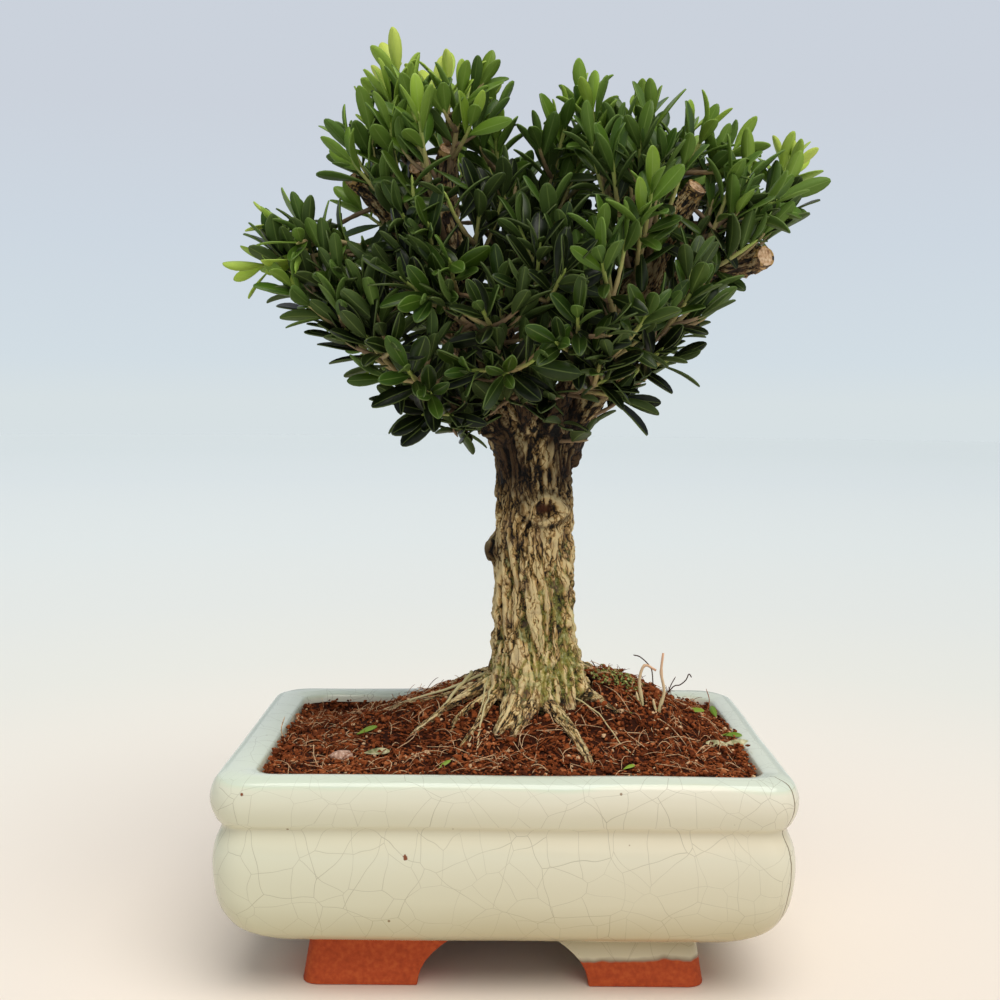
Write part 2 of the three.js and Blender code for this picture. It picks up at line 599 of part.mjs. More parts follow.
// The point and direction at a distance back from a line's tip.
function backFromTip(line, distance) {
  let left = distance;
  for (let i = line.length - 1; i > 0; i--) {
    const step = line[i].clone().sub(line[i - 1]);
    const length = step.length();
    if (left <= length || i === 1) {
      const direction = step.divideScalar(length);
      return { at: line[i].clone().addScaledVector(direction, -Math.min(left, length)), direction };
    }
    left -= length;
  }
  return null;
}

function lineLength(line) {
  return line.slice(1).reduce((sum, point, k) => sum + point.distanceTo(line[k]), 0);
}

// Opposite pairs of leaves from the tip inwards, each pair a quarter turn from the last.
function leavesOn(line, most, random) {
  const leaves = [];
  const first = backFromTip(line, 0).direction;
  const steep = Math.abs(first.z) >= 0.8;
  const side = first.clone().cross(new THREE.Vector3(steep ? 1 : 0, 0, steep ? 0 : 1)).normalize();
  const pairs = Math.min(most, 1 + Math.floor((lineLength(line) - BARE_ROOM) / PAIR_ROOM));
  const turn = random() * Math.PI;
  let distance = PAIR_FIRST;
  for (let k = 0; k < pairs; k++) {
    const { at, direction } = backFromTip(line, distance);
    const across = side.clone().addScaledVector(direction, -side.dot(direction)).normalize();
    const over = direction.clone().cross(across);
    for (const half of [0, 1]) {
      const angle = turn + (k * Math.PI) / 2 + half * Math.PI + (random() - 0.5) * TURN_SPREAD;
      const lean = THREE.MathUtils.degToRad(LEAN_FIRST + LEAN_STEP * k + (random() - 0.5) * LEAN_SPREAD);
      const length = (LEAF_LENGTH + (random() - 0.5) * LEAF_SPREAD) * (k === 0 ? LEAF_YOUNG : 1);
      const out = across.clone().multiplyScalar(Math.cos(angle)).addScaledVector(over, Math.sin(angle));
      const along = direction.clone().multiplyScalar(Math.cos(lean)).addScaledVector(out, Math.sin(lean));
      const face = direction.clone().addScaledVector(along, -direction.dot(along)).normalize();
      leaves.push({ at, along, face, length });
    }
    distance += PAIR_STEPS[k];
  }
  return leaves;
}

// One blade: spatulate, flat above, with a keel along its midrib below. Distances are shares of its length, its half
// width and its thickness. A test blade is a little bigger all round, and may start further out.
const BLADE_LEVELS = [
  { along: -0.035, wide: 0, keel: 0 },
  { along: 0.34, wide: 0.74, keel: 1.05 },
  { along: 0.8, wide: 0.95, keel: 0.8 },
  { along: 1, wide: 0, keel: 0.15 },
];
function blade({ at, along, face, length }, grow = 0, start = 0) {
  const across = along.clone().cross(face);
  const halfWidth = length * LEAF_HALF_WIDTH + grow;
  return solid(
    carried(3, BLADE_LEVELS.length - 1, (side, level) => {
      const { along: share, wide, keel } = BLADE_LEVELS[level];
      const point = at.clone().addScaledVector(along, Math.max(share, start) * (length + grow));
      if (wide === 0) return point.addScaledVector(face, -keel * LEAF_THICK);
      if (side === 0) return point.addScaledVector(face, -keel * LEAF_THICK * LEAF_KEEL - grow);
      const sign = side === 1 ? 1 : -1;
      point.addScaledVector(across, sign * wide * halfWidth);
      return point.addScaledVector(face, LEAF_THICK * (1 - LEAF_KEEL) + grow);
    }),
  );
}

function boxesMeet(a, b) {
  return [0, 1, 2].every((axis) => a.min[axis] < b.max[axis] && b.min[axis] < a.max[axis]);
}

function meets(shape, others) {
  const box = shape.boundingBox();
  return others.some((other) => boxesMeet(box, other.box) && !shape.intersect(other.shape).isEmpty());
}

function everyOther(line) {
  return line.filter((point, k) => k % 2 === 0);
}

// A stem's points with their radii, and a pointed bud past its tip.
function budded(line, [from, to]) {
  const points = line.map(({ x, y, z }, k) => [x, y, z, from + ((to - from) * k) / (line.length - 1)]);
  return [...points, [...budEnd(line), 0]];
}

// All the sprays: first every stem, then the leaves that fit between them.
function spraySolids(woodClear) {
  const random = randomStream(SEED);
  const taken = [];
  const sprays = [];
  for (const [region, list] of Object.entries(SPRAYS)) {
    list.forEach((tips, k) => {
      const lines = sprayLines(tips, taken);
      taken.push(...lines.map(finePoints));
      sprays.push({ name: `spray_${region}_${k + 1}`, lines });
    });
  }
  for (const spray of sprays) {
    const stems = spray.lines.map((line, k) => budded(everyOther(line), k ? TWIG_RADIUS : STEM_RADIUS));
    const joined = wasm.Manifold.union(stems.map((points) => tube(points, STEM_SIDES)));
    spray.keep = [{ shape: joined, box: joined.boundingBox() }];
    spray.leaves = spray.lines.flatMap((line, k) => leavesOn(line, k ? TWIG_PAIRS : MAIN_PAIRS, random));
  }
  const wood = [{ shape: woodClear, box: woodClear.boundingBox() }];
  for (const spray of sprays) {
    const others = sprays.filter((other) => other !== spray).flatMap((other) => other.keep);
    const stem = spray.keep[0];
    const own = [];
    for (let k = 0; k + 1 < spray.leaves.length; k += LEAF_KEEP) {
      for (const leaf of [spray.leaves[k], spray.leaves[k + 1]]) {
        const wide = blade(leaf, GAP);
        if (meets(wide, others) || meets(wide, wood) || meets(wide, own)) continue;
        if (meets(blade(leaf, 0, LEAF_FREE), [stem])) continue;
        const shape = blade(leaf);
        own.push({ shape, box: shape.boundingBox() });
        break;
      }
    }
    spray.keep = [stem, ...own];
  }
  return sprays.map(({ name, keep }) => ({
    name,
    shape: wasm.Manifold.union(keep.map(({ shape }) => shape)).subtract(woodClear),
  }));
}

function pebbleBody(grow = 0) {
  const geometry = new THREE.IcosahedronGeometry(1, 1);
  geometry.scale(...PEBBLE_HALF.map((half) => half + grow));
  return solid(geometry.rotateZ(0.3).translate(...PEBBLE_PLACE));
}

// The parts, in their places.
const glaze = finish(0xd3dcc2, 0.25);
const earth = finish(0x5a2f1c, 0.95);
const bark = finish(0xa08a66, 0.9);
const plastic = finish(0x2a2c2b, 0.6);
const stone = finish(0xcdb9a2, 0.8);
const dryStem = finish(0xd9a87c, 0.8);
const leafGreens = [0x35601f, 0x2c5220, 0x41702a].map((color) => finish(color, 0.35));

const wood = woodyBody();
const woodClear = woodyBody(GAP);
const stalks = Object.entries(STALKS);

let soil = soilBody().subtract(trunkHole()).subtract(woodyBody(GAP, true)).subtract(pebbleBody(GAP));
for (const [, points] of stalks) soil = soil.subtract(tube(points, STALK_SIDES, { grow: GAP }));
for (const signX of [-1, 1]) {
  const side = SCREEN_SIDE + 2 * GAP;
  const pocket = new THREE.BoxGeometry(side, side, 2 * (SCREEN_THICK + 2 * GAP));
  pocket.translate(signX * DRAIN_X + OPENING_SHIFT, 0, FLOOR_TOP);
  soil = soil.subtract(solid(pocket));
}

const plant = new THREE.Group();
plant.add(meshOf("pot", potBody(), glaze));
plant.add(meshOf("drain_screen_left", screenPlate(OPENING_SHIFT - DRAIN_X), plastic));
plant.add(meshOf("drain_screen_right", screenPlate(OPENING_SHIFT + DRAIN_X), plastic));
plant.add(meshOf("soil", soil, earth));
plant.add(meshOf("trunk", wood, bark));
plant.add(meshOf("pebble", pebbleBody(), stone));
for (const [name, points] of stalks) plant.add(meshOf(name, tube(points, STALK_SIDES), dryStem));
spraySolids(woodClear).forEach(({ name, shape }, k) => plant.add(meshOf(name, shape, leafGreens[k % 3])));

// The whole is set so that the origin is the middle of its footprint.
const extent = new THREE.Box3().setFromObject(plant);
const middle = extent.getCenter(new THREE.Vector3());
plant.position.set(-middle.x, -middle.y, -extent.min.z);

export default plant;
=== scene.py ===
"""A boxwood bonsai in its glazed pot, dressed over its CAD solids. Lengths in the tables are millimetres from
the middle of the pot's base, with +Z up and the front towards -Y, as in the CAD source."""

import math
import random

import bmesh
import bpy
import numpy as np
from mathutils import Matrix, Vector, noise
from mathutils.bvhtree import BVHTree


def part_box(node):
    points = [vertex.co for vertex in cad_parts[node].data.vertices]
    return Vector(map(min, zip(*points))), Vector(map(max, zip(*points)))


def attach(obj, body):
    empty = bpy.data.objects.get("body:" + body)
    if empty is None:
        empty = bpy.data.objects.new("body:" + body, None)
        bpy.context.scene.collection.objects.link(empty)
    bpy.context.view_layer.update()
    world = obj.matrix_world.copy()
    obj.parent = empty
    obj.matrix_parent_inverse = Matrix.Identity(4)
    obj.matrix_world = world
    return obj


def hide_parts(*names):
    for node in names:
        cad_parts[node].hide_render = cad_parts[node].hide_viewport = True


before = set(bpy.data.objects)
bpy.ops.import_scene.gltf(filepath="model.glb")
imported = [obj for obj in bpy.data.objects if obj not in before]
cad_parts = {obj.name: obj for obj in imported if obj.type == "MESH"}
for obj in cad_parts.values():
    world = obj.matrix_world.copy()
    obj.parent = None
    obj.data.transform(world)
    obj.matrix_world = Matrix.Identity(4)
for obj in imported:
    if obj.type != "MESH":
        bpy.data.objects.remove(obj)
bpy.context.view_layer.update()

MM = 0.001
SEED = 20417
pot_low, pot_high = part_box("pot")
POT_MIDDLE = Vector(((pot_low.x + pot_high.x) / 2, (pot_low.y + pot_high.y) / 2, 0))

# The pot, as in the CAD source: half length, half width, height and corner radius of each ring.
POT_OUTSIDE = [
    (57.7, 44.0, 14.2),
    (65.5, 49.5, 15.6),
    (71.5, 53.4, 18.0),
    (75.4, 55.6, 21.0),
    (78.5, 57.3, 27.0),
    (79.7, 58.3, 36.0),
    (79.2, 57.8, 43.0),
    (77.5, 56.0, 47.8),
    (78.6, 57.2, 50.0),
    (80.0, 58.5, 54.0),
    (80.0, 58.5, 58.0),
    (78.6, 57.2, 61.4),
    (75.4, 54.2, 63.0),
]
POT_INSIDE = [(71.6, 50.6, 62.4), (69.5, 48.5, 60.0), (68.8, 47.8, 48.0), (67.0, 46.0, 30.0),
              (62.0, 41.0, 20.8)]
POT_HALF = (80.0, 58.5)
POT_CORNER = 9.5
POT_WAIST = 50
FLOOR_TOP = 19.5
FLOOR_HALF = (57.0, 37.0)
OPENING_SHIFT = 1.5
DRAIN_RADIUS = 6
DRAIN_X = 30
FOOT_HEIGHT = 14.2
FOOT_CORNER = (56.8, 43.6)
FOOT_TAPER = 2.2
FOOT_LEGS = (32.8, 24.0)
FOOT_SPREAD = (12.0, 7.0)
FOOT_FLARE = 2.2
FOOT_THICK = 12.0
FOOT_STEPS = 7
# The glaze is drawn on the pot's surface unrolled: one unit of its map in millimetres, where the open crack
# runs, and the places and sizes of the chips.
UNROLLED = 100.0
CRACK_AT = 78.5
CHIPS = [((-26.4, 41.3), 1.3), ((65.3, 48.9), 1.0), ((-70.0, 59.0), 1.2)]
# Craze lines: width of a cell, half the width of a line, and how dark it is.
CRAZE = [(16.0, 0.1, 0.6), (9.0, 0.085, 0.5)]
# How high the bare clay reaches on the left feet and on the right ones, and between which places it changes.
BARE_CLAY = (13.6, 6.9)
BARE_CLAY_CHANGE = (12, 17)
# Painted light: between which places the glaze goes from a cool mint tint on the left, where cool light
# falls, to cream on the warmer right.
COOL_LIGHT_TINT_CHANGE = (-80, 40)

# The trunk's middle line: height, radius, middle x.
TRUNK = [
    (58, 13.0, 9.6),
    (68, 15.6, 9.8),
    (76, 16.4, 10.0),
    (80, 15.2, 10.0),
    (86, 13.4, 9.6),
    (94, 12.3, 9.2),
    (108, 11.7, 8.8),
    (118, 11.6, 8.7),
    (132, 11.2, 8.8),
    (144, 11.4, 8.8),
    (152, 12.0, 8.8),
    (158, 9.0, 8.6),
]
# Surface roots: x, y, z, radius along each.
ROOTS = [
    [(13, -6, 80, 5.0), (11.5, -12, 75.4, 3.6), (16.5, -19, 70.9, 2.5), (20.5, -26, 67.0, 2.2),
     (23.5, -34, 63.2, 1.8), (24.5, -39, 59.6, 1.4)],
    [(6, -8, 80, 5.2), (3, -14, 74.6, 4.2), (1, -19, 70.6, 3.2), (-2, -23, 66.8, 2.0), (-3, -26, 63.0, 1.3)],
    [(9, -9, 78, 4.6), (7, -16, 72.4, 3.2), (5.5, -20, 69.6, 2.2), (2.5, -24.5, 66.6, 1.6),
     (1.5, -28, 63.0, 1.1)],
    [(1, -4, 79, 3.2), (-4, -11, 74.4, 1.9), (-8, -19, 68.9, 1.3), (-13, -28.5, 63.9, 1.1),
     (-15, -32, 61.0, 0.9)],
    [(0, -2, 80, 3.4), (-9, -6, 75.8, 2.2), (-17, -9, 71.6, 1.6), (-25, -15, 66.7, 1.2),
     (-29, -18, 63.2, 1.0)],
    [(0, 0, 80, 3.0), (-8, -2, 77.0, 1.9), (-14, -3, 74.8, 1.5), (-24, 0, 71.4, 1.2), (-31, 3, 69.8, 1.0),
     (-36, 4, 66.8, 0.9)],
    [(2, -6, 78, 2.8), (-7, -10, 73.9, 1.8), (-12, -13, 70.8, 1.4), (-15, -16, 68.7, 1.1),
     (-16, -20, 65.4, 0.9)],
    [(16, -4, 80, 4.2), (23, -8, 76.8, 2.6), (29, -10, 74.2, 1.6), (34, -13, 70.6, 1.1)],
    [(16, 6, 81, 4.2), (26, 15, 78.4, 2.6), (34, 24, 74.0, 1.7), (39, 30, 67.6, 1.1)],
    [(9, 9, 81, 4.2), (7, 20, 76.6, 2.8), (3, 31, 69.0, 1.8), (0, 39, 62.0, 1.2)],
    [(2, 6, 80, 3.8), (-9, 14, 76.0, 2.4), (-20, 22, 70.4, 1.6), (-28, 28, 64.2, 1.1)],
]
# Limbs inside the crown: x, y, z, radius along each.
LIMBS = [
    [(4, -1, 146, 8.0), (-3, -4, 163, 7.0), (-10, -7, 180, 6.0), (-16, -9, 200, 5.0), (-19, -10, 216, 4.2),
     (-18, -11, 235, 3.2)],
    [(13, -1, 148, 8.5), (22, -5, 166, 7.5), (31, -9, 182, 6.5), (37, -12, 196, 6.8), (44, -14, 210, 4.2),
     (53, -17, 224, 3.2)],
    [(24, -4, 170, 5.5), (42, -7, 188, 4.8), (58, -9, 201, 4.2), (73, -12, 206, 3.6)],
    [(0, -6, 152, 3.2), (-14, -13, 161, 2.8), (-27, -18, 169, 2.4), (-44, -23, 185, 2.0),
     (-56, -25, 197, 1.6)],
    [(-15, -9, 197, 3.0), (-30, -12, 211, 2.4), (-44, -14, 226, 2.0)],
    [(8, -5, 150, 3.4), (4, -16, 166, 2.6), (0, -26, 184, 2.0)],
    [(12, -6, 152, 3.2), (17, -18, 166, 2.6), (23, -30, 178, 2.0)],
    [(16, -3, 152, 3.0), (30, -14, 168, 2.4), (44, -24, 186, 1.8)],
    [(6, 4, 150, 5.0), (-8, 16, 172, 4.0), (-24, 26, 194, 3.0), (-34, 32, 212, 2.2)],
    [(10, 5, 152, 4.5), (10, 22, 178, 3.4), (8, 34, 204, 2.4)],
    [(14, 4, 150, 5.0), (32, 16, 174, 4.0), (50, 26, 196, 3.0), (60, 30, 212, 2.2)],
    [(-3, -4, 163, 4.0), (0, 6, 190, 3.0), (2, 10, 214, 2.4)],
    [(37, -12, 196, 3.4), (36, 2, 214, 2.6), (34, 8, 230, 2.0)],
    [(58, -9, 201, 2.6), (68, 0, 211, 2.0), (79, 2, 220, 1.6)],
    [(-19, -10, 216, 2.8), (-26, 0, 232, 2.0), (-28, 4, 240, 1.6)],
]
WOOD_VOXEL, WOOD_VOXEL_QUICK = 0.65, 1.2
# Bark cells: size across and along the grain, shift and seed. They are ribs, plates, strands and flakes.
BARK_CELLS = [(4.4, 48.0, 20.0, 9), (2.6, 30.0, 0.0, 3), (1.4, 17.0, 50.0, 5), (1.8, 5.0, 90.0, 7)]
BARK_SHARES = (0.22, 0.4, 0.28, 0.1)
BARK_LEVEL = 0.6
TRUNK_DEPTH, ROOT_DEPTH, ROOT_DEPTH_SHARE = 3.5, 1.6, 0.36
SWAY_CELLS = np.array((1 / 8, 1 / 8, 1 / 22))
SWAY = 4.6
CROWN_HEIGHT = 152
# The knot's middle, the radius and width of its raised ring, and the radius of its hollow.
KNOT = np.array((11.2, -12.0, 132.0))
KNOT_RING, KNOT_RING_WIDTH, KNOT_HOLLOW = 3.2, 0.9, 1.7
# The old knob on the trunk's left side: across and up.
KNOB = (-4, 118)
# Leafy sprays by region: each is a list of the places where its shoots end.
SPRAYS = {
    "low_left": [
        [(-64, -24, 213), (-70, -22, 202), (-59, -30, 203)],
        [(-60, -34, 195), (-56, -20, 193)],
        [(-53, -12, 199), (-44, -28, 196), (-48, -14, 206)],
        [(-28, -40, 196), (-30, -34, 206), (-37, -20, 204)],
        [(-39, -38, 181), (-47, -30, 185), (-31, -46, 178)],
        [(-23, -28, 160), (-27, -20, 163), (-16, -34, 160)],
        [(-27, -46, 172), (-21, -42, 166), (-33, -38, 170)],
    ],
    "front": [
        [(-7, -50, 188), (-2, -44, 194), (-16, -46, 191)],
        [(-16, -42, 201), (-22, -48, 191)],
        [(-1, -48, 171), (-10, -46, 172), (7, -50, 175)],
        [(14, -54, 197), (8, -50, 204), (5, -50, 193)],
        [(11, -40, 214), (3, -38, 211), (14, -46, 207)],
        [(18, -56, 186), (13, -54, 179)],
        [(-8, -32, 218), (-1, -26, 224), (-17, -36, 219)],
    ],
    "top_left": [
        [(-45, -18, 232), (-47, -8, 239), (-41, -8, 245), (-34, -20, 241)],
        [(-33, -4, 260), (-36, 6, 258)],
        [(-25, -32, 241), (-28, -22, 249)],
        [(-18, -10, 256), (-23, 2, 256), (-12, -2, 252)],
        [(-14, -22, 249), (-11, -26, 241)],
        [(-6, -2, 248), (-4, -10, 240)],
        [(-30, -30, 216), (-35, -24, 222), (-27, -30, 224), (-22, -38, 211)],
    ],
    "top_right": [
        [(17, -8, 247), (14, -2, 243)],
        [(24, -12, 248), (22, 0, 254)],
        [(28, -36, 230), (23, -28, 235)],
        [(36, -32, 234), (33, -20, 241)],
        [(42, -8, 247), (39, 4, 249)],
        [(42, -36, 230), (48, -32, 229)],
        [(56, -18, 241), (53, -6, 243), (67, -2, 239)],
        [(63, -24, 227), (60, -12, 235), (70, -10, 230)],
    ],
    "right": [
        [(86, 2, 235), (84, 8, 236)],
        [(75, -18, 221), (81, -8, 226)],
        [(69, -22, 209), (68, -4, 215)],
        [(50, -38, 194), (56, -24, 196), (50, -36, 201)],
        [(37, -48, 187), (42, -38, 188)],
        [(42, -34, 178), (46, -26, 176), (36, -28, 172)],
        [(24, -58, 200), (25, -50, 208), (31, -48, 207)],
        [(27, -34, 170), (32, -26, 165), (25, -46, 176)],
        [(38, -44, 220), (35, -48, 213)],
    ],
    "back": [
        [(-56, 0, 198), (-50, 14, 208), (-48, 8, 196), (-40, 6, 182)],
        [(-44, 32, 208), (-34, 42, 200), (-52, 24, 196), (-38, 24, 184)],
        [(-24, 48, 192), (-10, 50, 182), (-34, 38, 180), (-20, 36, 170)],
        [(-38, 18, 230), (-45, 8, 222), (-30, 28, 236), (-24, 38, 224)],
        [(-16, 28, 240), (-24, 12, 248), (-10, 38, 230)],
        [(8, 54, 200), (-4, 54, 208), (20, 54, 208), (10, 46, 186)],
        [(8, 42, 226), (22, 36, 236), (0, 32, 230), (16, 22, 240)],
        [(34, 48, 198), (42, 42, 190), (28, 44, 180), (20, 38, 168)],
        [(36, 40, 226), (48, 34, 222), (32, 26, 242), (46, 22, 238)],
        [(54, 36, 206), (48, 42, 198), (62, 26, 206), (48, 24, 186)],
        [(58, 22, 228), (66, 14, 220), (54, 10, 238), (70, 10, 210)],
        [(16, 6, 238), (24, 2, 246), (34, 12, 246), (-8, 6, 238)],
    ],
}
HEART = np.array((8.0, -2.0, 166.0))
SEAT_REACH = 0.58
SEATS_TRIED = 40
STEM_CLEARANCE = 2.2
WOOD_CLEARANCE = 1.4
BEND_OUT, BEND_UP = 0.62, 0.38
BUD_LENGTH = 2.4
PAIR_FIRST = 0.4
PAIR_STEPS = (3.2, 4.1, 5.0, 6.0, 6.0, 6.0)
PAIR_ROOM, BARE_ROOM = 5.6, 4.0
LEAN_FIRST, LEAN_STEP, LEAN_SPREAD = 20.0, 12.0, 18.0
TURN_SPREAD = 0.5
LEAF_LENGTH, LEAF_SPREAD, LEAF_YOUNG = 14.5, 3.6, 0.86

POT_LEVEL = POT_MIDDLE / MM
# From millimetres from the middle of the pot's base to the row frame.
TO_ROW = Matrix.Translation(POT_MIDDLE) @ Matrix.Scale(MM, 4)


def here(x, y, z):
    """A place given from the middle of the pot's base, in the row frame."""
    return POT_MIDDLE + Vector((x, y, z)) * MM


# Camera, floor and light

CAMERA_PLACE = (-1.9, -402.0, 163.7)
CAMERA_PITCH = 4.27
CAMERA_ROLL = 0.47
CAMERA_LENS = 47.4
FLOOR_RADIUS = 6.0
# Wide soft lamps: direction that each shines from, strength, spread in degrees, colour.
LAMPS = [
    ("key", (0.24, -0.5, 1.15), 2.5, 50, (1.0, 0.965, 0.91)),
    ("fill", (0.5, -0.9, 0.35), 0.28, 50, (1.0, 0.98, 0.95)),
    ("behind", (-0.2, 0.9, 0.5), 0.25, 50, (0.96, 0.98, 1.0)),
]


def set_the_stage():
    """Camera, floor, lamps and a pale sky."""
    lens = bpy.data.cameras.new("camera")
    lens.lens = CAMERA_LENS
    lens.clip_start = 0.01
    camera = bpy.data.objects.new("camera", lens)
    camera.location = here(*CAMERA_PLACE)
    tilt = Matrix.Rotation(math.radians(90 - CAMERA_PITCH), 3, "X")
    camera.rotation_euler = (tilt @ Matrix.Rotation(math.radians(CAMERA_ROLL), 3, "Z")).to_euler()
    bpy.context.scene.collection.objects.link(camera)
    bpy.context.scene.camera = camera

    bm = bmesh.new()
    bmesh.ops.create_circle(bm, cap_ends=True, segments=128, radius=FLOOR_RADIUS)
    floor = settled("floor", bm, [painted_floor()])

    for name, source, strength, spread, colour in LAMPS:
        lamp = bpy.data.lights.new(name, "SUN")
        lamp.energy = strength
        lamp.angle = math.radians(spread)
        lamp.color = colour
        made = bpy.data.objects.new(name, lamp)
        made.rotation_euler = Vector(source).to_track_quat("Z", "Y").to_euler()
        bpy.context.scene.collection.objects.link(made)

    world = bpy.data.worlds.new("studio")
    world.use_nodes = True
    world.node_tree.nodes.clear()
    tree = world.node_tree
    place = add(tree, "TexCoord")
    split = add(tree, "SeparateXYZ", links={"Vector": place.outputs["Generated"]})
    sky = add(tree, "ValToRGB", links={"Fac": split.outputs["Z"]},
              stops=[(0.0, "#D7E0E3"), (0.03, "#D2DDE4"), (0.12, "#CDD7E1"), (0.21, "#CBD2DC"),
                     (1.0, "#C8D0DC")])
    seen = add(tree, "LightPath")
    strength = add(tree, "MapRange", {"To Min": 0.55, "To Max": 1.0},
                   {"Value": seen.outputs["Is Camera Ray"]})
    light = add(tree, "Background", links={"Color": sky, "Strength": strength})
    add(tree, "OutputWorld", links={"Surface": light})
    bpy.context.scene.world = world
    bpy.context.scene.view_settings.view_transform = "Standard"


# Materials


def linear(colour):
    """An sRGB hex colour as linear red, green, blue and alpha."""
    channels = [int(colour[k : k + 2], 16) / 255 for k in (1, 3, 5)]
    return [c / 12.92 if c <= 0.04045 else ((c + 0.055) / 1.055) ** 2.4 for c in channels] + [1.0]


def add(tree, kind, values=None, links=None, stops=None, **settings):
    """Adds a shader node with its settings, its sockets' values and links, and a colour ramp's stops. A link
    comes from a socket, or from a node, which gives the first of its outputs that is in use."""
    made = tree.nodes.new("ShaderNode" + kind)
    for name, value in settings.items():
        setattr(made, name, value)
    for name, value in (values or {}).items():
        made.inputs[name].default_value = linear(value) if isinstance(value, str) else value
    for name, source in (links or {}).items():
        if isinstance(source, bpy.types.Node):
            source = next(socket for socket in source.outputs if socket.enabled)
        tree.links.new(source, made.inputs[name])
    if stops:
        ramp = made.color_ramp
        while len(ramp.elements) < len(stops):
            ramp.elements.new(0.5)
        for element, (at, colour) in zip(ramp.elements, stops):
            element.position = at
            element.color = linear(colour)
    return made


def start_material(name):
    """A new material's tree, with the place on the piece in millimetres."""
    material = bpy.data.materials.new(name)
    material.use_nodes = True
    tree = material.node_tree
    tree.nodes.clear()
    place = add(tree, "TexCoord")
    scaled = add(tree, "VectorMath", {1: (1 / MM,) * 3}, {0: place.outputs["Object"]}, operation="MULTIPLY")
    return material, tree, scaled


def close_material(tree, colour, roughness, bump=None, **values):
    """The surface shader and the output. Roughness is a number or a node."""
    links = {"Base Color": colour}
    if bump is not None:
        links["Normal"] = bump
    if isinstance(roughness, float):
        values["Roughness"] = roughness
    else:
        links["Roughness"] = roughness
    shader = add(tree, "BsdfPrincipled", values, links)
    add(tree, "OutputMaterial", links={"Surface": shader})


def painted_floor():
    """Matt painted board: cream close to the pot, lightened there as painted light against the pot's shadow,
    and cooler with distance.
    """
    material, tree, place = start_material("painted_board")
    reach = add(tree, "VectorMath", links={0: place}, operation="LENGTH")
    away = add(tree, "Math", {1: 1 / 4000}, {0: reach}, operation="MULTIPLY")
    # painted light: the board is lightened close to the pot, where the pot's shadow falls
    tone = add(tree, "ValToRGB", links={"Fac": away}, stops=[
        (0.03, "#F0E4D6"), (0.07, "#EAE4D9"), (0.11, "#E2E2DA"), (0.17, "#DDE0DC"), (0.29, "#D9DFDE"),
        (0.6, "#D2DADC"), (1.0, "#CED7D9")])
    close_material(tree, tone, 0.7)
    return material


